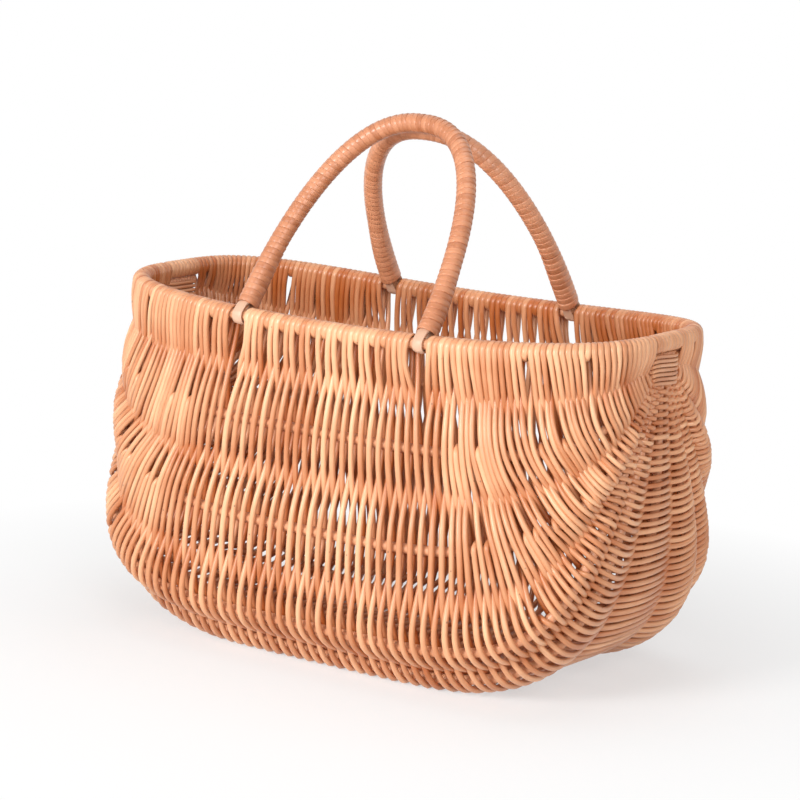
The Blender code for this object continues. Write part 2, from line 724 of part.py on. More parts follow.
def lapping_size(places, total):
    """Half width, half depth and offset of the winding's middle at distances along the
    core: oval over the tongue's tail near the feet, round over the core above."""
    chord_share = math.cos(math.pi / POINTS_PER_WINDING_TURN)
    round_size = (CORE_RADIUS + LAPPING_CLEARANCE) / chord_share + LAPPING_HALF_DEPTH
    from_end = np.minimum(places, total - places)
    tail_end = TONGUE_TAIL_LENGTH - LAPPING_START
    oval = 1.0 - smooth_step((from_end - tail_end - LAPPING_OVAL_HOLD) / LAPPING_OVAL_FADE)
    tail_depth = 2.0 * TONGUE_HALF_DEPTH + LAPPING_CLEARANCE
    half_width = round_size * (1.0 + LAPPING_OVAL_WIDENING * oval)
    half_depth = round_size + oval * (0.5 * tail_depth + LAPPING_OVAL_SLACK)
    offset = -oval * 0.5 * tail_depth
    return half_width, half_depth, offset


def build_handle(label, side, feet, reach, lean, squareness, skew):
    """A willow core with a tongue round the rim at each foot, and its lapping."""
    left, right, axis, rise, facing = handle_frame(side, feet, lean)
    origin = 0.5 * (left + right)
    outline = foot_outline()
    curve = arch(feet, reach, squareness, skew)
    middle_x = 0.5 * (feet[0] + feet[1])

    def place(x, height, offset):
        return origin + axis * (x - middle_x) + rise * height + facing * offset

    def leg_x(height, leg):
        rising = max(height, 0.0) / reach
        lengthwise = (1.0 - rising ** squareness) ** (1.0 / squareness)
        return middle_x + leg * 0.5 * (feet[1] - feet[0]) * lengthwise + skew * rising

    centres, wides, deeps, widthwise = [], [], [], []
    for offset, height, wide, deep in outline:
        centres.append(place(leg_x(height, -1.0), height, offset))
        wides.append(wide)
        deeps.append(deep)
        widthwise.append(-axis)
    in_plane = tangents_of(curve)
    for point, direction in zip(curve, in_plane):
        centres.append(place(point[0], point[1], 0.0))
        wides.append(CORE_RADIUS)
        deeps.append(CORE_RADIUS)
        widthwise.append(unit(rise * direction[0] - axis * direction[1]))
    for offset, height, wide, deep in reversed(outline):
        centres.append(place(leg_x(height, 1.0), height, offset))
        wides.append(wide)
        deeps.append(deep)
        widthwise.append(axis)
    centres = np.array(centres)
    widthwise = np.array(widthwise)
    normals = np.cross(widthwise, tangents_of(centres))
    core = sweep(label + "_handle_core", centres, normals, np.array(wides), np.array(deeps),
                 round_profile(6), CORE_TONE)

    feet_points = len(outline)
    spine = centres[feet_points - 1:len(centres) - feet_points + 1]
    spine = spine - facing * ((spine - origin) @ facing)[:, None]
    spine_wide = widthwise[feet_points - 1:len(centres) - feet_points + 1]
    walked = lengths_along(spine)
    turns = int(walked[-1] / LAPPING_PITCH)
    steps = np.arange(turns * POINTS_PER_WINDING_TURN + 1)
    angles = steps * 2.0 * math.pi / POINTS_PER_WINDING_TURN
    margin = LAPPING_HALF_WIDTH
    places = margin + (walked[-1] - 2.0 * margin) * steps / steps[-1]
    base = along(spine, places)
    wide_axis = unit(np.stack([np.interp(places, walked, spine_wide[:, i]) for i in range(3)], axis=1))
    half_width, half_depth, offset = lapping_size(places, walked[-1])
    ring = (np.cos(angles) * half_width)[:, None] * wide_axis
    ring = ring + (np.sin(angles) * half_depth + offset)[:, None] * facing
    outward = (np.cos(angles) / half_width)[:, None] * wide_axis
    outward = outward + (np.sin(angles) / half_depth)[:, None] * facing
    helix = base + ring
    lapping = sweep(label + "_handle_lapping", helix, unit(outward), LAPPING_HALF_WIDTH,
                    LAPPING_HALF_DEPTH, SQUARE, LAPPING_TONE)
    turn = POINTS_PER_WINDING_TURN
    self_gap = np.linalg.norm(helix[turn:] - helix[:-turn], axis=1).min() - 2.0 * LAPPING_HALF_WIDTH
    print("%s handle lapping: least gap to itself %.2f mm" % (label, self_gap * 1000.0))

    hinge = bpy.data.objects.new(label + "_handle_hinge", None)
    hinge.location = origin
    bpy.context.collection.objects.link(hinge)
    for piece in (core, lapping):
        piece.data.transform(Matrix.Translation(-Vector(origin)))
        piece.parent = hinge
    print("%s handle pivot" % label, np.round(origin, 5), "axis", np.round(axis, 5))


def main():
    """Clear the scene and build every piece."""
    for old in list(bpy.data.objects):
        bpy.data.objects.remove(old, do_unlink=True)
    rods = build_rods()
    build_rim(rods)
    build_ribs(rods)
    build_strands(rods)
    build_end_wraps(rods)
    build_lashings(rods)
    build_handle("front", -1.0, FRONT_HANDLE_FEET, FRONT_HANDLE_REACH, FRONT_HANDLE_LEAN,
                 FRONT_HANDLE_SQUARENESS, FRONT_HANDLE_SKEW)
    build_handle("back", 1.0, BACK_HANDLE_FEET, BACK_HANDLE_REACH, BACK_HANDLE_LEAN,
                 BACK_HANDLE_SQUARENESS, BACK_HANDLE_SKEW)


main()
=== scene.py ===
# %% [markdown]
# # A woven willow shopping basket
#
# This lesson dresses the plain model of a frame basket in real willow. The frame gives
# the shape: a closed rim, nine lengthwise ribs that meet under each end of the rim, and
# two handles that swing on the rim. The looks come from the weave, so almost every piece
# here is a tube carried along a path that is worked out with numpy.

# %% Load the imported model
import math

import bpy
import numpy as np
from mathutils import Matrix


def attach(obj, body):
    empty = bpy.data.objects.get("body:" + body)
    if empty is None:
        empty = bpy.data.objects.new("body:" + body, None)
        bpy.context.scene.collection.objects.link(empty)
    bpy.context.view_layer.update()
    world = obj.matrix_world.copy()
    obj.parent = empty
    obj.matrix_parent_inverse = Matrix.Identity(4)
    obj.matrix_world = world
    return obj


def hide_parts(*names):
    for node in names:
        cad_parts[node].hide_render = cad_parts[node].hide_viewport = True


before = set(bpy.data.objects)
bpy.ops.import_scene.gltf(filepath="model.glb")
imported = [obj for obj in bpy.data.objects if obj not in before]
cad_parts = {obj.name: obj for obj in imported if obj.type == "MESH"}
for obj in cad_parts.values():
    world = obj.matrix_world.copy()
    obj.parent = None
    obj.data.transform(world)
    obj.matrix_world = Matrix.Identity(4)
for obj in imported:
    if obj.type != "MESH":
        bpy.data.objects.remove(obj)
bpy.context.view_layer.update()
print("pieces in the frame:", len(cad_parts))

# %% [markdown]
# ## Sizes of the frame
#
# The rim and the ribs are the same curves as in the plain model: rounded rectangles
# (superellipses) that are bent down into a boat. Each rib drops from the fan, the place
# under the middle of an end of the rim where all nine ribs come together.

# %% Sizes of the rim and the ribs, in metres
RIM_HALF_LENGTH, RIM_HALF_WIDTH, RIM_SQUARENESS = 0.200, 0.0914, 3.4
RIM_HEIGHT, RIM_END_RISE, RIM_ROD_RADIUS = 0.2277, 0.0079, 0.00375
RIB_SIZES = {
    1: (0.2005, 0.0953, 0.1607, 3.56),
    2: (0.2045, 0.1035, 0.0962, 3.48),
    3: (0.1985, 0.1044, 0.0322, 4.70),
    4: (0.2010, 0.0810, 0.0079, 4.23),
    5: (0.2010, 0.0, 0.0079, 4.23),
}
RIB_RADIUS, RIB_TIP_RADIUS, RIB_TAPER_LENGTH = 0.0033, 0.0013, 0.090
FAN_DROP, FAN_SPACING, FAN_HALF_LENGTH = 0.0206, 0.0031, 0.2000
MIDDLE_RIB, BACK_RIM = 5, 10
UP = np.array((0.0, 0.0, 1.0))
WALL_CENTRE = np.array((0.0, 0.0, 0.6 * RIM_HEIGHT))
print("rim length, width and height in mm:",
      [round(1000.0 * size, 1) for size in (2.0 * RIM_HALF_LENGTH, 2.0 * RIM_HALF_WIDTH, RIM_HEIGHT)])


# %% [markdown]
# ## Small tools for curves
#
# A curve is kept as a list of points. These helpers measure it, take points from it at
# given distances and make soft steps, always for whole arrays at once.

# %% Helpers for curves
def unit(vectors):
    """Each vector divided by its own length."""
    return vectors / np.linalg.norm(vectors, axis=-1, keepdims=True)


def soft_step(value):
    """3 v^2 - 2 v^3 with v held between 0 and 1."""
    held = np.clip(value, 0.0, 1.0)
    return held * held * (3.0 - 2.0 * held)


def walked_along(points):
    """Running sum of the distances from point to point."""
    return np.concatenate(((0.0,), np.cumsum(np.linalg.norm(np.diff(points, axis=0), axis=1))))


def at_places(places, walked, values):
    """Rows of values at the given distances, straight between the known ones."""
    return np.stack([np.interp(places, walked, column) for column in values.T], -1)


def directions(points, closed=False):
    """Unit vector from the point before to the point after."""
    if closed:
        return unit(np.roll(points, -1, axis=0) - np.roll(points, 1, axis=0))
    return unit(np.gradient(points, axis=0))


def rounded_rectangle(angle, squareness):
    """|cos|^(2/n) and |sin|^(2/n), each with its own sign."""
    waves = np.stack((np.cos(angle), np.sin(angle)))
    return np.sign(waves) * np.abs(waves) ** (2.0 / squareness)


def ripple(places, seed, wavelength):
    """Soft wander between -1 and 1: three sines with seeded phases, at 1, 1.7 and 2.9
    times the base frequency."""
    phases = np.random.default_rng(seed).uniform(0.0, 2.0 * math.pi, 3)
    turns = places * 2.0 * math.pi / wavelength
    return (np.sin(turns + phases[0]) + 0.6 * np.sin(1.7 * turns + phases[1])
            + 0.4 * np.sin(2.9 * turns + phases[2])) / 2.0


print("a quarter along, a soft step has risen to", soft_step(0.25))


# %% Curves of the eleven rods, from the +X end to the -X end
CURVE_POINTS = 4000


def rod_curve(number):
    """Rod 0 and 10 are the half rims; ribs 1 to 9 drop and spread from the fan by the
    sine part of a rounded rectangle while x follows its cosine part."""
    angle = np.linspace(0.0, math.pi, CURVE_POINTS)
    if number in (0, BACK_RIM):
        side = -1.0 if number == 0 else 1.0
        lengthwise, crosswise = rounded_rectangle(angle, RIM_SQUARENESS)
        height = RIM_HEIGHT + RIM_END_RISE * lengthwise ** 2
        return np.stack((RIM_HALF_LENGTH * lengthwise, side * RIM_HALF_WIDTH * crosswise, height), 1)
    side = -1.0 if number < MIDDLE_RIB else 1.0
    half_length, half_width, height, squareness = RIB_SIZES[min(number, BACK_RIM - number)]
    lengthwise, drop = rounded_rectangle(angle, squareness)
    fan_height = RIM_HEIGHT + RIM_END_RISE - FAN_DROP
    reach = FAN_HALF_LENGTH + (half_length - FAN_HALF_LENGTH) * soft_step(drop * 2.0)
    fan_y = (number - MIDDLE_RIB) * FAN_SPACING
    spread = fan_y + (side * half_width - fan_y) * drop
    return np.stack((reach * lengthwise, spread, fan_height + (height - fan_height) * drop), 1)


RODS = [rod_curve(number) for number in range(BACK_RIM + 1)]
WALKED = [walked_along(rod) for rod in RODS]
TOTALS = [walked[-1] for walked in WALKED]
print("rod lengths in mm:", [round(total * 1000) for total in TOTALS])


def rod_at(number, places):
    """Point of a rod at the given distances from its +X end."""
    return at_places(places, WALKED[number], RODS[number])


def rod_direction(number, places, reach=0.003):
    """Unit vector between the points a little before and after a place."""
    return unit(rod_at(number, places + reach) - rod_at(number, places - reach))


def rod_radius(number, places):
    """The rim is even; a rib grows from its tip by a soft step over its taper."""
    if number in (0, BACK_RIM):
        return np.full_like(places, RIM_ROD_RADIUS)
    from_fan = np.minimum(places, TOTALS[number] - places)
    return RIB_TIP_RADIUS + (RIB_RADIUS - RIB_TIP_RADIUS) * soft_step(from_fan / RIB_TAPER_LENGTH)


# %% [markdown]
# ## Turning paths into tubes
#
# A willow rod is a long tube. A tube is a section (a ring of points) carried along a
# path: at each path point the ring is placed across the path, with its depth axis along
# a normal that the path brings with it. All rings are made in one array, and the faces
# come from the grid of ring and corner numbers. Each tube also writes a UV map, with the
# distance along the rod as u and the way round it as v, and a tone for its colour.

# %% Sections of a tube
def oval_section(sides):
    """Corners of a circle of radius one, as (across, out)."""
    angle = np.arange(sides) * 2.0 * math.pi / sides
    return np.stack((np.sin(angle), np.cos(angle)), 1)


def strap_section(roundness=4.0, sides=12):
    """Corners of a rounded strap: a superellipse with high squareness."""
    out, across = rounded_rectangle(np.arange(sides) * 2.0 * math.pi / sides, roundness)
    return np.stack((across, out), 1)


print("a strap's corners, across and out:", np.round(strap_section()[:4], 2).tolist())


# %% A tube along a path
def tube(path, normals, half_width, half_depth, section, tone=0.5, closed=False):
    """Rings = path + across * half_width * section_x + normal * half_depth * section_y.
    The normal is first made square to the path's direction."""
    ahead = directions(path, closed)
    normals = unit(normals - ahead * (normals * ahead).sum(1, keepdims=True))
    across = np.cross(ahead, normals)
    wide = np.broadcast_to(half_width, len(path))[:, None, None]
    deep = np.broadcast_to(half_depth, len(path))[:, None, None]
    rings = path[:, None] + across[:, None] * wide * section[None, :, :1]
    rings = rings + normals[:, None] * deep * section[None, :, 1:]
    count, sides = len(path), len(section)
    ring, corner = np.divmod(np.arange((count if closed else count - 1) * sides), sides)
    ring_of = np.stack((ring, ring + 1, ring + 1, ring), 1) % count
    corner_of = np.stack((corner, corner, corner + 1, corner + 1), 1)
    quads = ring_of * sides + corner_of % sides
    u, v = walked_along(path)[ring_of], corner_of / sides
    tones = np.repeat(np.broadcast_to(tone, count), sides)
    caps = [] if closed else [np.arange(sides), np.arange(sides)[::-1] + (count - 1) * sides]
    return dict(points=rings.reshape(-1, 3), quads=quads, uv=np.stack((u, v), 2), tones=tones, caps=caps)


# %% A mesh object from a tube
def new_object(name, data):
    """An object in the scene for a mesh, a lamp or a camera."""
    made = bpy.data.objects.new(name, data)
    bpy.context.collection.objects.link(made)
    return made


def mesh_object(name, made):
    """The quads and then the two flat caps, with the UV map and the tone, all written by
    foreach_set."""
    points, quads, caps = made["points"], made["quads"], made["caps"]
    loops = np.concatenate([quads.ravel()] + caps)
    sizes = np.concatenate((np.full(len(quads), 4), np.array([len(cap) for cap in caps], int)))
    mesh = bpy.data.meshes.new(name)
    mesh.vertices.add(len(points))
    mesh.vertices.foreach_set("co", points.ravel())
    mesh.loops.add(len(loops))
    mesh.loops.foreach_set("vertex_index", loops.astype(np.int32))
    mesh.polygons.add(len(sizes))
    mesh.polygons.foreach_set("loop_start", np.concatenate(((0,), np.cumsum(sizes)[:-1])).astype(np.int32))
    mesh.polygons.foreach_set("use_smooth", np.arange(len(sizes)) < len(quads))
    uv = np.concatenate((made["uv"].reshape(-1, 2), np.zeros((len(loops) - quads.size, 2))))
    mesh.uv_layers.new(name="rod").data.foreach_set("uv", uv.ravel())
    mesh.attributes.new("tone", "FLOAT", "POINT").data.foreach_set("value", made["tones"])
    mesh.update(calc_edges=True)
    mesh.validate()
    return new_object(name, mesh)


# %% [markdown]
# ## Willow as a material
#
# Peeled and boiled willow is a warm orange-tan, a little different on every rod, with
# faint streaks along the rod, cloudy patches, and small dark specks where buds sat. One
# node group gives all of that. Each material then feeds it its own two colours, and
# keeps its own Principled shader.

# %% Helpers for nodes
def feed(tree, socket, value):
    """An output is linked to the socket, and anything else becomes its own value."""
    if isinstance(value, bpy.types.NodeSocket):
        tree.links.new(value, socket)
    else:
        socket.default_value = value


def node(tree, kind, inputs=None, **settings):
    """A node with its settings and its inputs."""
    made = tree.nodes.new(kind)
    for key, value in settings.items():
        setattr(made, key, value)
    for key, value in (inputs or {}).items():
        feed(tree, made.inputs[key], value)
    return made


def maths(tree, operation, first, second=0.0, clamp=False):
    """One Math node, giving its output."""
    made = node(tree, "ShaderNodeMath", {0: first, 1: second}, operation=operation, use_clamp=clamp)
    return made.outputs[0]


def band(tree, value, low, high):
    """0 below low, 1 above high and straight between."""
    return node(tree, "ShaderNodeMapRange", {"Value": value, "From Min": low, "From Max": high}).outputs[0]


def noise(tree, place, scale, detail):
    """Cloudy value of about one half at a place."""
    made = node(tree, "ShaderNodeTexNoise", {"Vector": place, "Scale": scale, "Detail": detail})
    return made.outputs["Fac"]


def about_zero(tree, value, strength):
    """(value - 1/2) times a strength."""
    return maths(tree, "MULTIPLY", maths(tree, "SUBTRACT", value, 0.5), strength)


def mixed(tree, factor, first, second):
    """The colour between two."""
    made = node(tree, "ShaderNodeMix", {"Factor": factor}, data_type="RGBA")
    for socket, value in zip([s for s in made.inputs if s.type == "RGBA"], (first, second)):
        feed(tree, socket, value)
    return next(s for s in made.outputs if s.type == "RGBA")


# %% The willow node group
STREAK_SCALE, CLOUD_SCALE, FINE_SCALE = (28.0, 7.0, 1.0), 26.0, 420.0
SPECK_SCALE, SPECK_COLOUR = (75.0, 1.0, 1.0), (0.10, 0.035, 0.015, 1.0)
SPECK_EDGES, SPECK_CHANCE, CLOUD_STRENGTH = (0.070, 0.030), (0.52, 0.56), 0.9
LEAST_ROUGHNESS, ROUGHNESS_SPREAD, STREAK_RELIEF, FINE_RELIEF = 0.34, 0.22, 0.7, 0.3

willow = bpy.data.node_groups.new("willow rod", "ShaderNodeTree")
for label, kind in (("Rod", "Vector"), ("Place", "Vector"), ("Tone", "Float"), ("Pale", "Color"),
                    ("Deep", "Color"), ("Streaks", "Float"), ("Specks", "Float")):
    willow.interface.new_socket(name=label, in_out="INPUT", socket_type="NodeSocket" + kind)
for label, kind in (("Colour", "Color"), ("Roughness", "Float"), ("Height", "Float")):
    willow.interface.new_socket(name=label, in_out="OUTPUT", socket_type="NodeSocket" + kind)
given = node(willow, "NodeGroupInput").outputs
result = node(willow, "NodeGroupOutput").inputs

along_rod = node(willow, "ShaderNodeMapping", {"Vector": given["Rod"], "Scale": STREAK_SCALE}).outputs[0]
streak = noise(willow, along_rod, 1.0, 4.0)
cloud = noise(willow, given["Place"], CLOUD_SCALE, 3.0)
fine = noise(willow, given["Place"], FINE_SCALE, 2.0)
speck_place = node(willow, "ShaderNodeMapping", {"Vector": given["Rod"], "Scale": SPECK_SCALE}).outputs[0]
speck_cell = node(willow, "ShaderNodeTexVoronoi", {"Vector": speck_place, "Scale": 1.0}).outputs
speck_dot = band(willow, speck_cell["Distance"], *SPECK_EDGES)
speck_some = band(willow, speck_cell["Color"], *SPECK_CHANCE)
speck = maths(willow, "MULTIPLY", maths(willow, "MULTIPLY", speck_dot, speck_some), given["Specks"])
uneven = maths(willow, "ADD", about_zero(willow, streak, given["Streaks"]),
               about_zero(willow, cloud, CLOUD_STRENGTH))
deepness = maths(willow, "ADD", given["Tone"], uneven, clamp=True)
body = mixed(willow, deepness, given["Pale"], given["Deep"])
feed(willow, result["Colour"], mixed(willow, speck, body, SPECK_COLOUR))
feed(willow, result["Roughness"], maths(willow, "ADD", LEAST_ROUGHNESS,
                                        maths(willow, "MULTIPLY", fine, ROUGHNESS_SPREAD)))
feed(willow, result["Height"], maths(willow, "ADD", maths(willow, "MULTIPLY", streak, STREAK_RELIEF),
                                     maths(willow, "MULTIPLY", fine, FINE_RELIEF)))
print("nodes in the willow group:", len(willow.nodes))


# %% The willow materials
def willow_material(name, pale, deep, streaks, specks, bump, coat):
    """A Principled shader fed by the willow group with this finish's own colours."""
    material = bpy.data.materials.new(name)
    material.use_nodes = True
    tree = material.node_tree
    shader = tree.nodes["Principled BSDF"].inputs
    group = node(tree, "ShaderNodeGroup", node_tree=willow)
    for label, value in (
            ("Rod", node(tree, "ShaderNodeUVMap", uv_map="rod").outputs["UV"]),
            ("Place", node(tree, "ShaderNodeTexCoord").outputs["Object"]),
            ("Tone", node(tree, "ShaderNodeAttribute", attribute_name="tone").outputs["Fac"]),
            ("Pale", (*pale, 1.0)), ("Deep", (*deep, 1.0)), ("Streaks", streaks), ("Specks", specks)):
        feed(tree, group.inputs[label], value)
    relief = node(tree, "ShaderNodeBump", {"Strength": 1.0, "Distance": bump,
                                           "Height": group.outputs["Height"]})
    for label, value in (("Base Color", group.outputs["Colour"]), ("Roughness", group.outputs["Roughness"]),
                         ("Normal", relief.outputs["Normal"]), ("Coat Weight", coat),
                         ("Coat Roughness", 0.22)):
        feed(tree, shader[label], value)
    return material


weaver_willow = willow_material("weaver willow", (0.88, 0.480, 0.26), (0.48, 0.130, 0.028), 0.5, 0.6,
                                0.00008, 0.35)
rib_willow = willow_material("rib willow", (0.84, 0.43, 0.24), (0.62, 0.26, 0.12), 0.4, 0.4, 0.00008, 0.25)
skein_willow = willow_material("skein willow", (0.74, 0.325, 0.17), (0.45, 0.15, 0.057), 0.8, 0.3,
                               0.00010, 0.35)
peeled_willow = willow_material("peeled willow", (0.72, 0.46, 0.32), (0.54, 0.29, 0.17), 0.7, 0.3,
                                0.00012, 0.0)
print("finishes:", [m.name for m in (weaver_willow, rib_willow, skein_willow, peeled_willow)])


def make_piece(name, cad_name, made, material, body):
    """A tube as an object, with its material, the CAD body that it rides on, and
    the CAD piece that it stands for."""
    piece = mesh_object(name, made)
    piece.data.materials.append(material)
    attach(piece, body)
    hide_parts(cad_name)
    return piece


# %% [markdown]
# ## The ribs and the rim rod
#
# Nine smooth rods carry the weave. Each ends in a thin upright stem under the rim, where
# the lashing binds them all. They are tubes along the rod curves, thinner at both tips.

# %% Ribs
STEM_TOP_BELOW_RIM, STEM_FOOT_ABOVE_FAN = 0.0064, 0.001
RIB_POINTS, STEM_POINTS, HOOP_POINTS, ROD_SIDES, WEAVER_SIDES = 260, 6, 480, 16, 10


def rib_tube(number):
    """A tube along the rib with an upright stem added at each end."""
    places = np.linspace(0.0, TOTALS[number], RIB_POINTS)
    path = rod_at(number, places)
    stem = np.linspace(FAN_DROP - STEM_TOP_BELOW_RIM, STEM_FOOT_ABOVE_FAN, STEM_POINTS)[:, None] * UP
    path = np.vstack((path[:1] + stem, path, path[-1:] + stem[::-1]))
    radius = np.pad(rod_radius(number, places), STEM_POINTS, mode="edge")
    tone = 0.45 + 0.2 * ripple(walked_along(path), 40 + number, 0.35)
    return tube(path, path - WALL_CENTRE, radius, radius, oval_section(ROD_SIDES), tone)


RIB_NAMES = ("front_upper_rib", "front_lower_rib", "front_corner_rib", "front_floor_rib",
             "centre_floor_rib", "back_floor_rib", "back_corner_rib", "back_lower_rib",
             "back_upper_rib")
for number, name in enumerate(RIB_NAMES, start=1):
    make_piece("fine_" + name, name, rib_tube(number), rib_willow, "basket")
print("ribs:", len(RIB_NAMES))

# %% Rim rod
angle = np.linspace(0.0, 2.0 * math.pi, HOOP_POINTS, endpoint=False)
lengthwise, crosswise = rounded_rectangle(angle, RIM_SQUARENESS)
rim_path = np.stack((RIM_HALF_LENGTH * lengthwise, RIM_HALF_WIDTH * crosswise,
                     RIM_HEIGHT + RIM_END_RISE * lengthwise ** 2), 1)
rim_tube = tube(rim_path, rim_path * (1.0, 1.0, 0.0), RIM_ROD_RADIUS, RIM_ROD_RADIUS,
                oval_section(ROD_SIDES), 0.5, closed=True)
make_piece("fine_rim_hoop", "rim_hoop", rim_tube, rib_willow, "basket")
print("rim rod:", round(1000 * walked_along(rim_path)[-1]), "mm round")

# %% [markdown]
# ## Where each row of the weave goes
#
# A row runs crosswise from the front rim to the back rim and passes each rod outside or
# inside by turns. Two rows at a time share a wrap over the rim. There is more room along
# the floor than along the rim, so some pairs of rows turn back on an upper rib instead,
# and rows near the ends are thinner and closer. The wraps leave room at the handle feet.

# %% How many rows, and where they turn
STRANDS, ROWS_IN_STRAND = 13, 20
ROWS = STRANDS * ROWS_IN_STRAND
PAIRS = ROWS // 2


def from_both_ends(turns, last):
    """{pair: rod} for the given turns and for the same ones counted from the far end,
    where pair k becomes last - k."""
    return {**turns, **{last - pair: rod for pair, rod in turns.items()}}


# A pair that turns on rod 1 to 3 stays below the rim. One that turns on rod 8 never
# leaves the other wall: it only fills the wall between the rim and the second rib.
FRONT_TURNS = from_both_ends(
    {7: 8, 14: 8, 22: 8, 29: 8, 21: 1, 25: 2, 27: 1, 32: 2, 34: 3, 36: 2, 38: 2, 41: 3, 43: 1,
     45: 2, 47: 2, 49: 1}, PAIRS)
BACK_TURNS = from_both_ends(
    {4: 8, 10: 8, 17: 8, 23: 8, 24: 1, 26: 2, 31: 1, 33: 2, 35: 2, 37: 3, 39: 2, 42: 3, 44: 1,
     46: 2, 48: 2, 50: 1}, PAIRS - 1)
WEAVER_RADIUS, ROW_JITTER = 0.00197, 0.0003
THIN_SHARE, THIN_ROWS = 0.82, 80.0
CLOSE_SHARE, CLOSE_ROWS, CLOSE_FADE = 0.60, 54.0, 36.0
RIM_LIFT, RIM_HALF_DEPTH, BAND_SHARE = 0.0015, 0.00105, 0.53
BAND_PITCH, END_BAND_SHARE, END_STRETCH, WRAP_LEAN = 0.00435, 0.86, 0.09, 0.0022
FIRST_ON_RIM, FOOT_GAPS, FOOT_ROOM = 0.0155, (0.0075, 0.0056), 0.0092
TRACKS = {
    0: (0.0155, 0.082, 0.127, 0.158),
    1: (0.0045, 0.072, 0.119, 0.158),
    2: (0.0062, 0.079, 0.128, 0.193),
    3: (0.0082, 0.0745, 0.137, 0.243),
}
FRONT_FEET, BACK_FEET = (-0.0715, 0.0751), (-0.0771, 0.0727)

row_numbers = np.arange(ROWS)
front_pair = (row_numbers + 1) // 2
back_pair = row_numbers // 2
first_rod = np.array([FRONT_TURNS.get(pair, 0) for pair in front_pair])
last_rod = np.array([BACK_RIM - BACK_TURNS.get(pair, 0) for pair in back_pair])
under_floor = (first_rod <= 3) & (last_rod >= 7)
counted = np.cumsum(under_floor)
from_end = np.minimum(counted, counted[-1] - counted)
thickness = THIN_SHARE + (1.0 - THIN_SHARE) * soft_step(from_end / THIN_ROWS)
closeness = CLOSE_SHARE + (1.0 - CLOSE_SHARE) * soft_step((from_end - CLOSE_ROWS) / CLOSE_FADE)
print("rows:", ROWS, "of which", int(under_floor.sum()), "go under the floor")

# %% [markdown]
# Every row gets a station, its place along the corner rib (rod 3). The station says where
# the row should cross the other rods, by a short table of known crossings. Near the ends
# the rows lean outwards to the rim, and in the middle they run straight down.

# %% Where a row crosses each rod
counted = np.cumsum(closeness * under_floor)
share = (counted - counted[0]) / (counted[-1] - counted[0])
station = TRACKS[3][0] + (TOTALS[3] - 2.0 * TRACKS[3][0]) * share


def crossing_of(number, stations):
    """The table of known crossings, straight between them and the same at both ends."""
    kind = min(number, BACK_RIM - number)
    half, half_corner = 0.5 * TOTALS[number], 0.5 * TOTALS[3]
    same_share = tuple(place * half / half_corner for place in TRACKS[3])
    near = np.interp(np.minimum(stations, 2.0 * half_corner - stations), TRACKS[3] + (half_corner,),
                     TRACKS.get(kind, same_share) + (half,))
    return np.where(stations > half_corner, 2.0 * half - near, near)


def evened(places, reach=5):
    """Gaps between neighbours, averaged over a few rows with a soft window, so that the
    room that a short row leaves or takes is shared out."""
    window = np.hanning(2 * reach + 3)[1:-1]
    gaps = np.convolve(np.pad(np.diff(places), reach, mode="edge"), window, "valid")
    walked = np.concatenate(((0.0,), np.cumsum(gaps)))
    return places[0] + (places[-1] - places[0]) * walked / walked[-1]


# %% Bands on the rim, some of them extra turns that only fill it
RIM_STEPS, SAME_PLACE = 2001, 1e-4


def rim_bands(number, pairs, pair_of_row, feet):
    """{pair: (top place, extra turns, pitch)}. Each stretch between the feet is cut into
    bands, narrower near the ends. A pair takes the band nearest to where it comes up,
    but never one already taken nor one that later pairs need, and the bands between two
    pairs are the extra turns of the later one."""
    total = TOTALS[number]
    spots = sorted(np.interp(-foot, -RODS[number][:, 0], WALKED[number]) for foot in feet)
    line = np.linspace(0.0, total, RIM_STEPS)
    inwards = soft_step((np.minimum(line, total - line) - END_STRETCH) / END_STRETCH)
    pitch = BAND_PITCH * (END_BAND_SHARE + (1.0 - END_BAND_SHARE) * inwards)
    sums = np.cumsum(line[1] / pitch)
    comes_up = crossing_of(number, station)
    wanted = {pair: float(comes_up[pair_of_row == pair].mean()) for pair in pairs}
    bands = {}
    gap_before, gap_after = FOOT_GAPS if number == 0 else FOOT_GAPS[::-1]
    for start, end in zip([FIRST_ON_RIM] + spots, spots + [total - FIRST_ON_RIM]):
        here = [pair for pair in pairs if pair not in bands
                and start - SAME_PLACE <= wanted[pair] <= end + SAME_PLACE]
        start += gap_after if start in spots else 0.0
        end -= gap_before if end in spots else 0.0
        low, high = np.interp((start, end), line, sums)
        count = max(int(round(high - low)), len(here))
        tops = np.interp(low + (np.arange(count) + 0.5) * (high - low) / count, sums, line)
        aim = np.interp([wanted[pair] for pair in here], tops, np.arange(count))
        taken = np.round((aim - aim[0]) / (aim[-1] - aim[0]) * (count - 1)).astype(int)
        order = np.arange(len(here))
        taken = order + np.minimum(np.maximum.accumulate(taken - order), count - len(here))
        extras = np.diff(taken, prepend=taken[0] - 1) - 1
        for pair, band_number, extra in zip(here, taken, extras):
            bands[pair] = (float(tops[band_number]), int(extra), float(np.gradient(tops)[band_number]))
    return bands


front_bands = rim_bands(0, [k for k in range(PAIRS + 1) if k not in FRONT_TURNS], front_pair, FRONT_FEET)
back_bands = rim_bands(BACK_RIM, [k for k in range(PAIRS) if k not in BACK_TURNS], back_pair, BACK_FEET)
print("wraps on the rim:", len(front_bands), "in front and", len(back_bands), "behind, with",
      sum(b[1] for b in front_bands.values()), "and", sum(b[1] for b in back_bands.values()), "extra turns")

